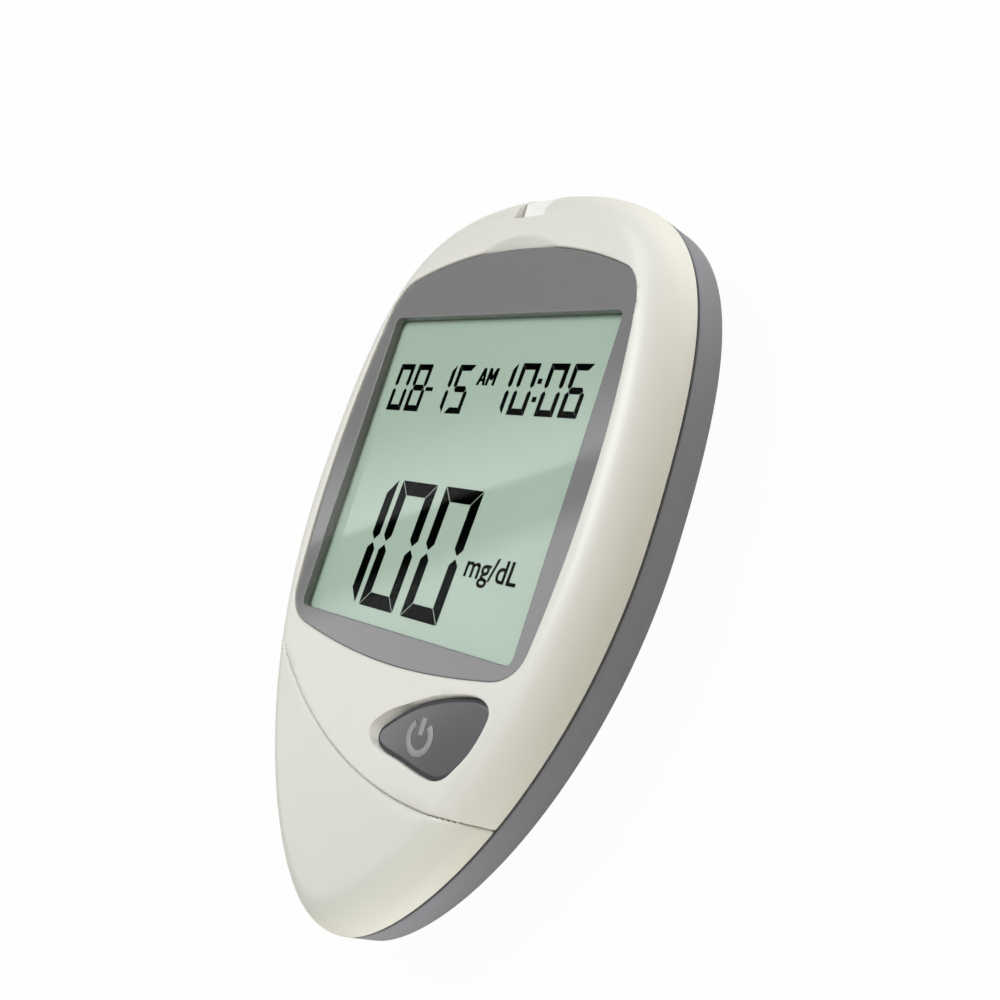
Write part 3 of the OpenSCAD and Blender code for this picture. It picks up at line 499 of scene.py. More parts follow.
def shoulder(p, n, k):
    """Flat place, outer and inner point of outline points at station k."""
    xy = p - n * row_w[k]
    level = np.where(k < 3, 1.0, fall(xy[:, 1]))
    outer = np.column_stack([xy, row_z[k] * level])
    thick = WALL * math.cos(math.radians(90 * row_q[k])) ** 0.8
    low = max(0.1 + 0.01 * k, (COVER_H - FACE_T) * rise(row_q[k], SHOULDER_FULL))
    inner = np.column_stack([xy - n * thick, low * level])
    return p - n * row_flat[k], outer, inner


def row_slope(k):
    """Outward and upward part of the surface normal at station k."""
    a, b = max(k - 1, 0), min(k + 1, len(row_w) - 1)
    step = np.array([row_z[b] - row_z[a], row_w[b] - row_w[a]])
    return step / np.linalg.norm(step)


class Skin:
    """Points of a moulded shell: flat places for triangulation, with their outer and inner points."""

    def __init__(self):
        self.flat, self.outer, self.inner, self.count = [], [], [], 0

    def add(self, flat, outer, inner):
        self.flat.append(flat)
        self.outer.append(outer)
        self.inner.append(inner)
        self.count += len(flat)
        return list(range(self.count - len(flat), self.count))

    def done(self):
        return np.vstack(self.flat), np.vstack(self.outer), np.vstack(self.inner)


def on_face(xy, drop=0.0):
    """Points on the flat of the face, lowered by drop."""
    outer = np.column_stack([xy, face_z(xy[:, 0], xy[:, 1]) - drop])
    inner = np.column_stack([xy, (COVER_H - FACE_T) * fall(xy[:, 1])])
    return xy, outer, inner


def crossing(radius, k, side):
    """Outline point and normal where station k meets a circle about the chin line's centre, left or right."""
    near = body.p - body.n * row_w[k]
    gap = np.linalg.norm(near - CHIN_LINE, axis=1) - radius
    step = np.nonzero((gap[:-1] * gap[1:] < 0) & (np.sign(near[:-1, 0]) == side))[0]
    i = step[0]
    t = gap[i] / (gap[i] - gap[i + 1])
    p = body.p[i] + t * (body.p[i + 1] - body.p[i])
    n = body.n[i] + t * (body.n[i + 1] - body.n[i])
    return p, n / np.linalg.norm(n)


EDGE_ROUND = 0.3  # rounding of the covers' edges along the chin line
EDGE_STEPS = (0.0, 0.03, 0.1, 0.19, 0.3)


def edge_drop(e, r=EDGE_ROUND):
    return r - math.sqrt(max(r * r - (r - e) ** 2, 0)) if e < r else 0.0


def stacked(parts):
    """Flat places, outer and inner points of several parts, each in one array."""
    return [np.vstack(a) for a in zip(*parts)]


def chin_row(skin, radius, drop):
    """One row of points along the chin line, from joint line to joint line across the face."""
    ends = []
    for side in (-1, 1):
        parts = []
        for k in range(len(row_w))[::-side]:
            p, n = crossing(radius, k, side)
            f, o, i = shoulder(p[None], n[None], k)
            out, up = row_slope(k)
            parts.append((f, o - drop * np.array([[n[0] * out, n[1] * out, up]]), i))
        ends.append(stacked(parts))
    start, stop = ends[0][0][-1], ends[1][0][0]
    angles = [math.atan2(*(q - CHIN_LINE)[::-1]) for q in (start, stop)]
    angles = [a + 2 * math.pi if a > 0 else a for a in angles]
    span = angles[1] - angles[0]
    steps = max(int(abs(span) * radius / 0.7), 4)
    between = [angles[0] + span * k / steps for k in range(1, steps)]
    xy = CHIN_LINE + radius * np.array([(math.cos(a), math.sin(a)) for a in between])
    middle = on_face(xy, drop)
    return sum([skin.add(*part) for part in (ends[0], middle, ends[1])], [])


RECESS_DEPTH = 1.0  # the face slopes down to the button round its upper left tip
EDGE = 0.28  # rounding of the other edges of the face
BEZEL_GAP = 0.05


def bezel_rows(skin):
    """The rounded edge of the face round the bezel; returns its lowest row."""
    steps = (0, 0.02, 0.07, 0.15, EDGE)
    return [skin.add(*on_face(bezel.p + bezel.n * (BEZEL_GAP + e), edge_drop(e, EDGE))) for e in steps][0]


def recess_rows(skin):
    """The slope of the face down to the button, with its lowest row, the button's hole and the slope's rim."""
    loop = traced(BUTTON_NODES, closed=True, steps=26)
    hole = loop.out(BUTTON_GAP)
    far = outward(loop, BUTTON_GAP, traced(RECESS_NODES, closed=True, steps=26).out(BUTTON_GAP))
    slope = np.clip(far / 0.5, 0, 1)
    width = far[:, None] * loop.n + EDGE * loop.n * (1 - slope[:, None])
    depth = EDGE + (face_z(*hole.T) - (LENS_Z - RECESS_DEPTH) - EDGE) * slope
    rows = []
    for e in (0, 0.1, 0.25, 0.45, 0.65, 0.82, 0.92, 1.0):
        drop = depth * (slope * (1 - e) + (1 - slope) * (1 - math.sqrt(1 - (1 - e) ** 2)))
        rows.append(skin.add(*on_face(hole + e * width, drop)))
    return rows[0], hole, hole + width


def cover(front):
    """The front cover inside the chin line's circle, or the chin cover outside it."""
    skin = Skin()
    sign = 1 if front else -1
    line_r = CHIN_LINE_R - sign * CHIN_GAP / 2

    def from_line(xy):
        """Distance from the chin line, towards the cover's own side."""
        return sign * (line_r - np.linalg.norm(xy - CHIN_LINE, axis=1))

    for k in range(len(row_w)):
        f, o, i = shoulder(rim.p, rim.n, k)
        good = from_line(o[:, :2]) > EDGE_ROUND + 0.25
        if front:
            good &= ~((np.abs(o[:, 0]) < PORT_HALF + 0.35) & (o[:, 1] > 40))
        skin.add(f[good], o[good], i[good])
    chin = [chin_row(skin, line_r - sign * e, edge_drop(e)) for e in EDGE_STEPS][0]
    rings, holes = [(chin, False)], []
    field = grid(HALF_W, HALF_L, FACE_FIELD)
    field = field[inside(body.even(300).out(-SHOULDER_W - 0.5), field)]
    field = field[from_line(field) > EDGE_ROUND + 0.5]
    if front:
        fine = grid(15, 9, SCOOP_FIELD) + np.array([0, 38])
        ring_r = np.hypot(fine[:, 0], fine[:, 1] - SCOOP_Y)
        fine = fine[(ring_r < SCOOP_R + 0.8) & (fine[:, 1] < PORT_START - 0.6)]
        coarse = np.hypot(field[:, 0], field[:, 1] - SCOOP_Y) > SCOOP_R + 1.3
        field = np.vstack([field[coarse | (field[:, 1] < 34)], fine])
        bezel_row = bezel_rows(skin)
        button_row, hole, recess = recess_rows(skin)
        rings += [(bezel_row, True), (button_row, True)]
        holes = [bezel.out(BEZEL_GAP), hole]
        for loop_ring in (bezel.out(0.43), recess):
            field = field[~inside(loop_ring, field)]
            field = field[away(loop_ring, field) > 0.3]
        rings.append((port_rows(skin, PORT_FLOOR), True))
        field = field[~((np.abs(field[:, 0]) < PORT_HALF + 0.3) & (field[:, 1] > PORT_START - 0.4))]
    skin.add(*on_face(field))
    flat, outer, inner = skin.done()

    def keep(faces):
        middle = outer[faces].mean(1)
        good = (from_line(middle[:, :2]) > 0) & outside(holes, middle[:, :2])
        if front:
            in_notch = (np.abs(middle[:, 0]) < PORT_HALF) & (middle[:, 1] > PORT_START)
            good &= ~(in_notch & (middle[:, 2] > PORT_FLOOR - 1e-3))
        return good

    return closed_by(outer, inner, triangulate(flat, rings, keep))


def port_rows(skin, low_z):
    """The edge of the notch over the strip guide, with its small rounding; returns the edge itself."""
    near = body.even(4000)
    stations = [k for k in range(len(row_w)) if row_z[k] > low_z + 0.25]
    rows = []
    q_low = np.interp(low_z, row_z[3:], row_q[3:])
    w_low = SHOULDER_W * draw_in(q_low, SHOULDER_FULL)
    flat_low = np.interp(low_z, row_z, row_flat)
    for e, drop in ((0.0, 0.1), (0.04, 0.03), (0.12, 0.0)):
        x = PORT_HALF + e
        up, down = (stacked([column(near, side * x, k) for k in stations[::-side]]) for side in (-1, 1))
        xs = np.linspace(-x, x, 9)
        across = on_face(np.column_stack([xs, np.full(9, PORT_START - e)]))
        low = stacked([low_point(near, xx, w_low, flat_low, low_z - e) for xx in xs[::-1]])
        row = []
        for part in (low, up, across, down):
            row += skin.add(part[0], part[1] - [0, 0, drop], part[2])
        rows.append(row)
    return rows[0]


def top_index(xy, x):
    """Which of the outline points at the top end is nearest to x."""
    return np.argmin(np.where(xy[:, 1] > 0, np.abs(xy[:, 0] - x), 1e9))


def column(near, x, k):
    """Where station k passes over a given x at the top end."""
    i = top_index(near.p - near.n * row_w[k], x)
    return shoulder(near.p[i:i + 1], near.n[i:i + 1], k)


def low_point(near, x, w, flat, z):
    """The same between two stations, at inset w and height z."""
    xy = near.p - near.n * w
    i = top_index(xy, x)
    n = near.n[i:i + 1]
    return near.p[i:i + 1] - n * flat, np.array([[*xy[i], z]]), np.array([[*(xy[i] - n[0] * WALL), z]])


lcd_hole = round_rect(-LCD_HALF - SLACK, LCD_HALF + SLACK, LCD_LOW - SLACK, LCD_TOP + SLACK, 0.3)
bezel_seat = plate(bezel.moved(0.5), COVER_H - FACE_T - 0.05, BEZEL_SEAT, holes=[lcd_hole])
piece("front_cover_shell", joined(cover(True), bezel_seat), IVORY, replaces=["front_cover"])
piece("chin_cover_shell", cover(False), IVORY_CHIN_SHADED, replaces=["chin_cover"])


# ---- display
bezel_plate = plate(bezel, BEZEL_SEAT, LENS_Z, holes=[window], top_r=0.12)
piece("bezel_plate", bezel_plate, BEZEL_GREY, replaces=["display_bezel"])
pane = round_rect(-WINDOW_HALF + 0.05, WINDOW_HALF - 0.05, WINDOW_LOW + 0.05, WINDOW_TOP - 0.05, 1)
pane_solid = plate(pane, BEZEL_SEAT, BEZEL_SEAT + WINDOW_T, top_r=0.06)
piece("clear_pane", pane_solid, GLASS, replaces=["display_window"])
lcd_mid = LCD_Z - LCD_T / 2
lcd = joined(
    box((-LCD_HALF, LCD_HALF), (LCD_LOW, LCD_TOP), (lcd_mid, LCD_Z), 0.03),
    box((-LCD_HALF, LCD_HALF), (LCD_LOW + 1.4, LCD_TOP - 0.6), (LCD_Z - LCD_T, lcd_mid - 0.01), 0.03),
)
piece("display_glass", lcd, LCD_GREEN, replaces=["lcd_panel"])

SEGMENTS = {"0": "abcdef", "1": "bc", "5": "afgcd", "6": "afgecd", "8": "abcdefg"}
INK_LOW, INK_HIGH = LCD_Z + 0.004, LCD_Z + 0.02
LEAN = 0.055


def digit(char, x, y, w, h, side, bar, gap, split):
    """The lit bars of one digit, as outlines with mitred corners. Its lower left corner is at x, y."""
    mid, tip = h / 2, side / 2
    top = [(gap, h), (w - gap, h), (w - side - gap, h - bar), (side + gap, h - bar)]
    flank = [(0, h - gap), (side, h - bar - gap), (side, mid + tip + split), (tip, mid + split), (0, mid + tip + split)]
    middle = [(tip + gap, mid), (side + gap, mid + bar / 2), (w - side - gap, mid + bar / 2),
              (w - tip - gap, mid), (w - side - gap, mid - bar / 2), (side + gap, mid - bar / 2)]
    other = [(w - px, py) for px, py in flank]
    bars = {"a": top, "f": flank, "b": other, "g": middle}
    for name, source in (("d", "a"), ("e", "f"), ("c", "b")):
        bars[name] = [(px, h - py) for px, py in bars[source]]
    return [[(x + px + LEAN * py, y + py) for px, py in bars[name]] for name in SEGMENTS[char]]


def rect(x0, x1, y0, y1):
    return [(x0, y0), (x1, y0), (x1, y1), (x0, y1)]


def inked(outlines):
    solids = []
    for shape in outlines:
        n = len(shape)
        low = [(x, y, INK_LOW) for x, y in shape]
        high = [(x, y, INK_HIGH) for x, y in shape]
        faces = [tuple(range(n)), tuple(range(2 * n - 1, n - 1, -1))]
        faces += [(i, i + n, (i + 1) % n + n, (i + 1) % n) for i in range(n)]
        solids.append((np.array(low + high), faces))
    return joined(*solids)


small = dict(w=3.2, h=6.65, side=0.7, bar=0.84, gap=0.02, split=0.14)
shown = []
for char, x, y in [("0", -19.35, 17.45), ("8", -15.35, 17.45), ("1", -10.15, 17.45), ("5", -6.35, 17.45),
                   ("1", 1.75, 17.75), ("0", 5.8, 17.75), ("0", 10.85, 17.75), ("6", 14.85, 17.75)]:
    shown += digit(char, x, y, **small)
shown += [rect(-11.9, -10.3, 20.36, 20.9)] + [rect(9.65, 10.4, y, y + 0.65) for y in (19.5, 21.8)]
big = dict(w=7.4, h=17.0, side=1.65, bar=1.9, gap=0.08, split=0.2)
for char, x in [("1", -19.3), ("0", -10.9), ("0", -1.75)]:
    shown += digit(char, x, -9.0, **big)
# The half of the day, in two narrow letters of straight strokes
HALF_AT, STROKE = (-1.5, 21.4), 0.25
legs = [(0, 0, 0.6, 2.3), (0.6, 2.3, 1.2, 0), (1.75, 0, 1.75, 2.3), (1.75, 2.3, 2.4, 0.7), (2.4, 0.7, 3.05, 2.3),
        (3.05, 2.3, 3.05, 0)]
strokes = [[(a - STROKE, b), (a + STROKE, b), (c + STROKE, d), (c - STROKE, d)] for a, b, c, d in legs]
strokes.append(rect(0.15, 1.05, 0.5, 0.9))
shown += [[(x + HALF_AT[0] + 0.08 * y, y + HALF_AT[1]) for x, y in corners] for corners in strokes]
piece("display_digits", inked(shown), INK)


# The unit, in the built-in font
UNIT_AT, UNIT_NARROW, UNIT_DEPTH = (7.4, -2.4), 0.96, 0.008
curve = bpy.data.curves.new("display_unit", "FONT")
curve.body = "mg/dL"
curve.size, curve.offset, curve.extrude = 4.0 * MM, 0.06 * MM, UNIT_DEPTH * MM
curve.shear, curve.resolution_u = LEAN, 6
text = in_scene("display_unit_curve", curve)
bpy.context.view_layer.update()
mesh = bpy.data.meshes.new_from_object(text.evaluated_get(bpy.context.evaluated_depsgraph_get()))
bpy.data.objects.remove(text)
place = Matrix.Translation((UNIT_AT[0] * MM, UNIT_AT[1] * MM, (SEAM + INK_LOW + UNIT_DEPTH) * MM))
mesh.transform(place @ Matrix.Diagonal((UNIT_NARROW, 1, 1, 1)))
mesh.materials.clear()
mesh.materials.append(INK)
unit_text = in_scene("display_unit", mesh)
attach(unit_text, "meter")


# ---- main button
def button_z(x, y):
    flat = np.hypot(x - BUTTON_MID[0] + 4, y - BUTTON_MID[1] - 1.5)
    return BUTTON_TOP - BUTTON_DOME_R + np.sqrt(BUTTON_DOME_R ** 2 - flat ** 2)


button_solid = joined(
    plate(button.moved(-0.2), FLANGE_TOP - FLANGE_T / 2, BUTTON_TOP, top_r=0.25, dome=button_z, steps=6, field=0.8),
    plate(button.moved(BUTTON_FLANGE), FLANGE_TOP - FLANGE_T, FLANGE_TOP, top_r=0.1, low_r=0.1, steps=2),
    plate(circle(*BUTTON_MID, 1.7), 2.4, FLANGE_TOP - 0.4, low_r=0.1),
)
piece("main_button_cap", button_solid, BUTTON_GREY, body="main_button", replaces=["main_button"])
# A dark ring of painted shadow in the gap round the button, for the dark outline of the gap's shade.
shadow_ring = plate(button.moved(0.15), FLANGE_TOP - 0.1, None, holes=[button.moved(-0.5)],
              dome=lambda x, y: button_z(x, y) - SHADOW_RING_LOW)
piece("button_shadow_ring", shadow_ring, DARK_SHADE, body="main_button")

MARK_AT, MARK_R, MARK_W, MARK_H = np.array([10.9, -21.7]), 1.85, 0.82, 0.12


def raised_stroke(path):
    """A rounded bar that follows a path on the button's crowned face."""
    path = np.asarray(path, float)
    tangent = np.gradient(path, axis=0)
    tangent /= np.linalg.norm(tangent, axis=1)[:, None]
    side = np.column_stack([-tangent[:, 1], tangent[:, 0]])
    profile = [(-1, -0.3), (-1, 0.35), (-0.72, 0.85), (0, 1), (0.72, 0.85), (1, 0.35), (1, -0.3)]
    rows = []
    for u, h in profile:
        xy = path + side * MARK_W / 2 * u
        rows.append(np.column_stack([xy, button_z(xy[:, 0], xy[:, 1]) + MARK_H * h]))
    n, m = len(path), len(profile)
    verts = np.vstack(rows)
    faces = quads(n, m, around=False, back=True)
    faces += [tuple(k * n for k in range(m)), tuple(k * n + n - 1 for k in reversed(range(m)))]
    return verts, faces


arc = [MARK_AT + MARK_R * unit(90 + a) for a in np.linspace(38, 322, 40)]
stem = [MARK_AT + np.array([0, MARK_R * f]) for f in np.linspace(0.15, 1.25, 6)]
mark = joined(raised_stroke(arc), raised_stroke(stem))
piece("button_mark", mark, MARK_GREY, body="main_button")


# ---- rear housing
belly_q = np.linspace(0, 1, 19)
belly_u = draw_in(belly_q, BELLY_FULL)
belly_z = -REAR_WALL_H - BELLY_H * rise(belly_q, BELLY_FULL)
hem = [(0.22, -0.19), (0.07, -0.23), (0.0, -0.35), (0.0, -1.3), (0.0, -2.3), (0.0, -3.3)]


def runs(reach_in):
    """Distance along the belly from its flat to each row, where it draws in by reach_in."""
    steps = np.hypot(np.diff(belly_u) * reach_in, np.diff(belly_z))
    return np.concatenate([np.cumsum(steps[::-1])[::-1], [0]])


run_x, run_y = runs(BELLY_IN[0]), runs(BELLY_IN[1])


def belly_points(base, q, normals=None):
    """Flat place, outer and inner point of outline points base at belly parameters q."""
    u = draw_in(q, BELLY_FULL)[:, None]
    z = -REAR_WALL_H - BELLY_H * rise(q, BELLY_FULL)
    flat_in = BELLY_IN - np.column_stack([np.interp(q, belly_q, run) for run in (run_x, run_y)])
    thick = (REAR_SKIN * np.cos(np.radians(90 * q)) ** 0.8)[:, None]
    outer = np.column_stack([base * (1 - BELLY_IN * u / HALF_SIZE), z])
    inner_z = -REAR_WALL_H - (BELLY_H - REAR_SKIN) * rise(q, BELLY_FULL)
    inner = np.column_stack([base * (1 - (BELLY_IN * u + thick) / HALF_SIZE), inner_z])
    return base * (1 - flat_in / HALF_SIZE), outer, inner


def on_belly(xy):
    """The same for plan points anywhere under the body, whose parameter is found by halving."""
    def base_at(q):
        return xy / (1 - BELLY_IN * draw_in(q, BELLY_FULL)[:, None] / HALF_SIZE)

    low, high = np.zeros(len(xy)), np.ones(len(xy))
    for _ in range(40):
        q = (low + high) / 2
        base = base_at(q)
        out = np.hypot(base[:, 0], base[:, 1]) > radius_at(body_rim, base[:, 0], base[:, 1])
        high = np.where(out, q, high)
        low = np.where(out, low, q)
    q = (low + high) / 2
    flat_zone = q > 0.9999
    flat, outer, inner = belly_points(base_at(q), q)
    flat[flat_zone] = xy[flat_zone]
    outer[flat_zone] = np.column_stack([xy, np.full(len(xy), BACK_Z)])[flat_zone]
    inner[:, :2] = xy
    return flat, outer, inner


def rear_shell():
    skin = Skin()
    first_flat = 1 - (BELLY_IN - [run_x[0], run_y[0]]) / HALF_SIZE
    for inset, z in hem:
        xy = rim.p - rim.n * inset
        flat = rim.p * first_flat + rim.n * (REAR_WALL_H + z + inset)
        inner = np.column_stack([rim.p - rim.n * (inset + REAR_SKIN), np.full(len(xy), min(z, -0.1))])
        skin.add(flat, np.column_stack([xy, np.full(len(xy), z)]), inner)
    openings = screw_loops + [door_loop]
    for q in belly_q:
        f, o, i = belly_points(rim.p, np.full(len(rim.p), q))
        good = outside([loop.out(0.5) for loop in openings], o[:, :2])
        skin.add(f[good], o[good], i[good])
    rings = []
    for loop in openings:
        rows = []
        for e in (0.0, 0.04, 0.13, 0.25):
            f, o, i = on_belly(loop.out(e))
            rows.append(skin.add(f, o + [0, 0, edge_drop(e, 0.25)], i))
        rings.append((rows[0], True))
    field = grid(18, 42, BACK_FIELD)
    field = field[inside(rim.p * (1 - BELLY_IN / HALF_SIZE) * 0.97, field)]
    field = field[outside([loop.out(0.8) for loop in openings], field)]
    slots = np.array([(s * x, y) for s in (-1, 1) for x in (2.4, 2.7, 4, 6, 7.3, 7.6) for y in (34, 34.6, 35.3, 35.7)])
    skin.add(*on_belly(np.vstack([field[away(slots, field) > 0.8], slots])))
    flat, outer, inner = skin.done()
    in_slot = (np.abs(np.abs(inner[:, 0]) - 5) < 2.35) & (inner[:, 1] > DOOR_TOP) & (inner[:, 1] < 35.4)
    inner[in_slot, 2] = np.minimum(inner[in_slot, 2], DOOR_SEAT - 0.1)

    def keep(faces):
        return outside([loop.p for loop in openings], outer[faces].mean(1)[:, :2])

    return closed_by(outer, inner, triangulate(flat, rings, keep))


SCREW_SEAT, BOSS_R, SHAFT_R = -REAR_WALL_H - 3.4, 2.25, 1.0
POCKET_X, POCKET_LOW, POCKET_FLOOR = (-10.0, 2.0), -25.4, -3.2
SET_AT, SET_R = (-5.0, -22.1), 1.5


def well(x, y):
    """A screw well: its wall from the skin to the screw's seat, and the post above."""
    outer, inner = circle(x, y, BOSS_R, 40), circle(x, y, HEAD_R + 0.15, 40)
    n = len(outer.p)
    feet = [on_belly(outer.p)[2] - [0, 0, 0.3], on_belly(inner.p)[2]]
    tops = [np.column_stack([loop.p, np.full(n, SCREW_SEAT + 0.01)]) for loop in (outer, inner)]
    wall = np.vstack([feet[0], tops[0], tops[1], feet[1]]), quads(n, 4, back=True)
    top = -0.1 if y > 0 else -0.6
    return joined(wall, plate(outer, SCREW_SEAT, top, holes=[circle(x, y, SHAFT_R, 24)]))


def tray():
    """The battery bay under the door: its seat, walls and floor, and the pocket of the setting button."""
    bay = round_rect(-BAY_HALF, BAY_HALF, BAY_LOW, BAY_TOP, 0.3)
    pocket = round_rect(*POCKET_X, POCKET_LOW, BAY_LOW - 1, 0.3)
    x0, x1 = POCKET_X
    tower = round_rect(-DOOR_HALF, DOOR_HALF, BAY_LOW - 1, BAY_TOP + 1.2, 0.2)
    hole = circle(*SET_AT, SET_R + 0.05)
    seat = DOOR_SEAT + 0.02
    return joined(
        plate(door_loop, DOOR_SEAT, DOOR_SEAT + 0.45, holes=[bay, pocket]),
        plate(tower, seat, BAY_FLOOR, holes=[bay]),
        plate(tower, BAY_FLOOR + 0.01, -0.2),
        box((x0 - 1, x0), (POCKET_LOW - 1, BAY_LOW - 1.01), (seat, -0.2)),
        box((x1, x1 + 1), (POCKET_LOW - 1, BAY_LOW - 1.01), (seat, -0.2)),
        box((x0, x1), (POCKET_LOW - 1, POCKET_LOW), (seat, -0.2)),
        plate(round_rect(x0, x1, POCKET_LOW, BAY_LOW - 1, 0.1), POCKET_FLOOR, POCKET_FLOOR + 1, holes=[hole]),
    )


screw_loops = [circle(x, y, HEAD_R + 0.15, 40) for x, y in SCREWS]
door_loop = round_rect(-DOOR_HALF - 0.2, DOOR_HALF + 0.2, DOOR_LOW - 0.2, DOOR_TOP + 0.2, DOOR_ROUND + 0.2,
                       12).even(220)
lip = body.even(300)
lip_ring = plate(lip.moved(-1.2), -2.0, -0.12, holes=[lip.moved(-2.5)])
rear = joined(rear_shell(), lip_ring, tray(), *[well(*at) for at in SCREWS])
piece("rear_shell", rear, GREY, replaces=["rear_housing"])
# A dark ring of painted shade in the joint line, behind the gap between the covers and the housing, so the joint shows
# dark.
shade_ring = plate(lip.moved(-0.45), -0.12, 0.12, holes=[lip.moved(-1.5)])
piece("joint_shade_ring", shade_ring, DARK_SHADE)


# ---- battery door and cells
GRIPS = [DOOR_LOW + 4 + 1.3 * k for k in range(4)]
door_in = DOOR_Z + DOOR_T
door_plan = round_rect(-DOOR_HALF, DOOR_HALF, DOOR_LOW, DOOR_TOP, DOOR_ROUND, 12)
grip_slots = [round_rect(-5, 5, y, y + 0.5, 0.24, 4) for y in GRIPS]
tongue_z = DOOR_SEAT + 0.05
door_solids = [
    plate(door_plan, DOOR_Z, DOOR_Z + 0.3, holes=grip_slots, low_r=0.12, steps=3),
    plate(door_plan, DOOR_Z + 0.31, door_in, top_r=0.08, steps=2),
    box((-0.5, 0.5), (BAY_LOW + 4, BAY_TOP - 6), (door_in - 0.05, -9.225)),
    box((-2.5, 0.5), (POCKET_LOW + 0.8, POCKET_LOW + 1.6), (door_in - 0.05, door_in + 4.5)),
    box((-2.5, 0.5), (POCKET_LOW + 0.5, POCKET_LOW + 1.0), (door_in + 3.4, door_in + 4.0)),
]
for s in (-5, 5):
    door_solids += [
        box((s - 2, s + 2), (DOOR_TOP - 1, DOOR_TOP + 1.9), (tongue_z, tongue_z + 0.8)),
        box((s - 2, s + 2), (DOOR_TOP - 1, DOOR_TOP - 0.1), (door_in - 0.1, tongue_z + 0.4)),
    ]
piece("battery_door_panel", joined(*door_solids), GREY, body="battery_door", replaces=["battery_door"])

CELL_R, CELL_L, CELL_X, CELL_Z = 5.25, 44.5, 5.45, -6.6


def turned(profile, x, y, way, steps=48):
    """A solid of revolution along Y, from (radius, distance) points that start and end on the axis."""
    rows = [[(x + r * math.cos(a), y - way * d, CELL_Z + r * math.sin(a))
             for a in np.linspace(0, 2 * math.pi, steps, endpoint=False)] for r, d in profile[1:-1]]
    n, m = steps, len(rows)
    faces = quads(n, m) + [tuple(range(n)), tuple((m - 1) * n + i for i in range(n))]
    return np.array([p for row in rows for p in row]), faces


def cell(name, x, y, way):
    """A cell: steel ends with a terminal, and a coloured sleeve with a pale band that stops short of them."""
    bend = [(CELL_R - 0.5 + 0.5 * math.sin(a), 1.5 - 0.5 * math.cos(a)) for a in np.linspace(0, math.pi / 2, 5)]
    can = [(0, 0), (1.5, 0), (1.9, 0.15), (1.9, 0.95), (2.3, 1)] + [(r - 0.1, d) for r, d in bend]
    can += [(r - 0.1, CELL_L + 1 - d) for r, d in bend[::-1]]
    can += [(3.4, CELL_L), (3.2, CELL_L - 0.12), (0, CELL_L - 0.12)]
    piece(name + "_can", turned(can, x, y, way), STEEL, replaces=[name])
    sleeve = [(0, 1.35), (CELL_R - 0.25, 1.35), (CELL_R - 0.04, 1.5), (CELL_R, 1.7), (CELL_R, CELL_L - 0.7),
              (CELL_R - 0.04, CELL_L - 0.5), (CELL_R - 0.25, CELL_L - 0.4), (0, CELL_L - 0.4)]
    piece(name + "_sleeve", turned(sleeve, x, y, way), SLEEVE)
    band = [(0, 8.2), (CELL_R + 0.012, 8.2), (CELL_R + 0.012, 9.4), (0, 9.4)]
    piece(name + "_band", turned(band, x, y, way), WHITE)


cell("battery_left", -CELL_X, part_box("battery_left")[1][1] / MM, 1)
cell("battery_right", CELL_X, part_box("battery_right")[0][1] / MM, -1)


# ---- the other nodes keep their solids
FINISH = [
    (GASKET_SHADE_TINT, "display_gasket"), (HOLDER, "lcd_holder"), (RUBBER, "zebra_strips"), (BOARD, "circuit_board"),
    (TAN, "small_parts"), (WHITE, "strip_guide set_button"), (GOLD, "switch_plunger strip_contacts set_plunger"),
    (BLACK, "microcontroller buzzer button_switch strip_connector set_switch"),
    (STEEL, "crystal battery_springs battery_plates housing_screws board_screws"),
]
for look, names in FINISH:
    for name in names.split():
        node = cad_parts[name]
        node.data.materials.clear()
        node.data.materials.append(look)


# ---- stage, light and camera
def staged_plane(name, corners, look):
    mesh = bpy.data.meshes.new(name)
    mesh.from_pydata(corners, [], [(0, 1, 2, 3)])
    mesh.materials.append(look)
    obj = in_scene(name, mesh)
    return obj


def floor_look():
    """Pale floor that shows white to the camera, but keeps a share of the shadow."""
    m, tree, diffuse = new_material("pale_floor")
    setup(diffuse, {"Base Color": (0.72, 0.69, 0.6, 1), "Roughness": 0.9})
    glow = add_node(tree, "Emission", {"Strength": 1.0})
    seen = add_node(tree, "LightPath", output="Is Camera Ray")
    share = add_node(tree, "Math", {0: seen, 1: 0.97}, operation="MULTIPLY")
    mix = add_node(tree, "MixShader", {"Fac": share, 1: diffuse.outputs["BSDF"], 2: glow})
    setup(tree.nodes["Material Output"], {"Surface": mix})
    return m


SKY, KEY, FILL, OVERHEAD, CARD_GLOW = 0.22, 4.95, 2.3, 1.2, 1.85
FILL_COLOUR = (1, 0.91, 0.62)
BOUNCES = {"bounce_top": ((0.075, 0.1), 0.105), "bounce_low": ((0.06, -0.11), 0.14)}
FLOOR, CARD_HEIGHT = 3.0, 0.8  # half of the floor's side and the overhead cards' height, in metres
staged_plane("floor", [(FLOOR * x, FLOOR * y, 0) for x, y in ((-1, -1), (1, -1), (1, 1), (-1, 1))], floor_look())

world = bpy.context.scene.world or bpy.data.worlds.new("world")
bpy.context.scene.world = world
world.use_nodes = True
tree = world.node_tree
tree.nodes.clear()
sky = add_node(tree, "Background", {"Color": (1, 0.99, 0.97, 1), "Strength": SKY})
white = add_node(tree, "Background", {"Color": (1, 1, 1, 1), "Strength": 1.0})
seen = add_node(tree, "LightPath", output="Is Camera Ray")
pick = add_node(tree, "MixShader", {"Fac": seen, 1: sky, 2: white})
setup(tree.nodes.new("ShaderNodeOutputWorld"), {"Surface": pick})


def area_light(name, place, size, power, colour=(1, 1, 1), aim=(0, 0, 0.01)):
    lamp = bpy.data.lights.new(name, "AREA")
    lamp.shape = "RECTANGLE"
    lamp.size, lamp.size_y = size
    lamp.energy = power
    lamp.color = colour
    obj = in_scene(name, lamp)
    obj.location = place
    obj.rotation_euler = (Vector(aim) - Vector(place)).to_track_quat("-Z", "Y").to_euler()
    return obj


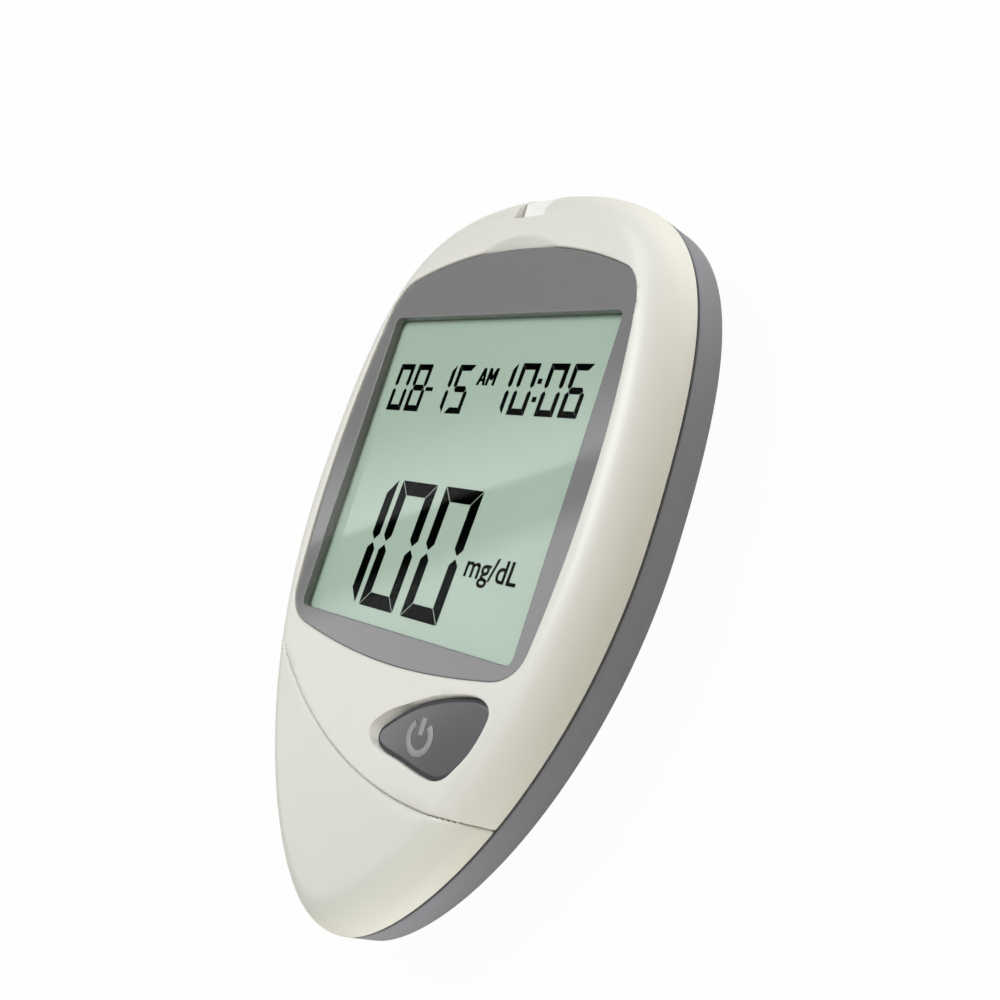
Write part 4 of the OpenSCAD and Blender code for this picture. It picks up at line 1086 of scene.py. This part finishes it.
area_light("key", (-0.12, 0.2, 0.76), (0.5, 0.5), KEY)
area_light("fill", (1.05, -0.4, 0.42), (1.5, 0.9), FILL, FILL_COLOUR)
for name, (at, power) in BOUNCES.items():
    lamp = area_light(name, (*at, 0.001), (0.1, 0.1), power, aim=(*at, 1))
    lamp.visible_camera = lamp.visible_glossy = False


def mirror_card(name, corners, glow):
    """A card that only mirrors see. glow gives its emission's inputs, for its node tree."""
    m, tree, end = new_material(name, keep_shader=False)
    setup(end, {"Surface": add_node(tree, "Emission", glow(tree))})
    card = staged_plane(name, corners, m)
    card.visible_camera = card.visible_diffuse = card.visible_shadow = False


def overhead_card(name, x, y, strength):
    """A bright card overhead, for the bands of light along the shoulder."""
    corners = [(x[i], y[k], CARD_HEIGHT) for i, k in ((0, 0), (0, 1), (1, 1), (1, 0))]
    mirror_card(name, corners, lambda tree: {"Strength": strength})


overhead_card("overhead_card", (-0.12, 0.42), (-0.5, 0.5), OVERHEAD)
overhead_card("far_card", (-0.5, 0.2), (0.6, 1.5), 2.2 * OVERHEAD)

CARD_X, CARD_Y, CARD_Z = -600, (-260, 620), (150, 950)
CARD_SLOPE = 0.662  # of the card's edge, in Y over height
CARD_START = 48.7 - CARD_SLOPE * 380
CARD_FROM = (-320, 120)
CARD_LEVELS = [(-300, 0.0), (-215, 1), (-70, 1), (-42, 0.03), (-3, 0), (3, 1), (18, 0.95), (80, 0.06), (110, 0)]


def card_glow(tree):
    """Bright above a slanting edge, dark under it, bright again lower down."""
    low, high = CARD_FROM
    place = add_node(tree, "TexCoord", output="Object")
    across = add_node(tree, "VectorMath", {0: place, 1: (0, 1, -CARD_SLOPE)}, "Value", operation="DOT_PRODUCT")
    span = add_node(tree, "MapRange", {
        "Value": across,
        "From Min": (CARD_START + low - CARD_SLOPE * SEAM) * MM,
        "From Max": (CARD_START + high - CARD_SLOPE * SEAM) * MM,
    })
    colour = add_node(tree, "ValToRGB", {"Fac": span})
    stops = colour.node.color_ramp.elements
    while len(stops) > 1:
        stops.remove(stops[-1])
    for k, (at, level) in enumerate(CARD_LEVELS):
        spot = (at - low) / (high - low)
        stop = stops.new(spot) if k else stops[0]
        stop.position = spot
        stop.color = (level, level, level, 1)
    return {"Strength": CARD_GLOW, "Color": colour}


corners = [(CARD_X, CARD_Y[i], CARD_Z[k]) for i, k in ((0, 0), (1, 0), (1, 1), (0, 1))]
mirror_card("studio_card", [(x * MM, y * MM, (z + SEAM) * MM) for x, y, z in corners], card_glow)

CAMERA_AT = np.array([116.111, -12.668, 92.616 + SEAM])
CAMERA_LOOK = np.array([-0.754838, 0.087185, -0.650091])
CAMERA_ROLL = 67.833  # clockwise turn about the line of sight, seen from behind

lens = bpy.data.cameras.new("camera")
lens.sensor_width, lens.lens, lens.shift_y, lens.clip_start = 36.0, 42.871, 0.07, 0.01
camera = in_scene("camera", lens)
forward = Vector(CAMERA_LOOK)
level = forward.cross(Vector((0, 0, 1))).normalized()
upright = level.cross(forward)
turn = math.radians(CAMERA_ROLL)
up = upright * math.cos(turn) + level * math.sin(turn)
right = forward.cross(up)
axes = Matrix((right, up, -forward)).transposed().to_4x4()
camera.matrix_world = Matrix.Translation(Vector(CAMERA_AT * MM)) @ axes
bpy.context.scene.camera = camera
bpy.context.scene.view_settings.view_transform = "Standard"
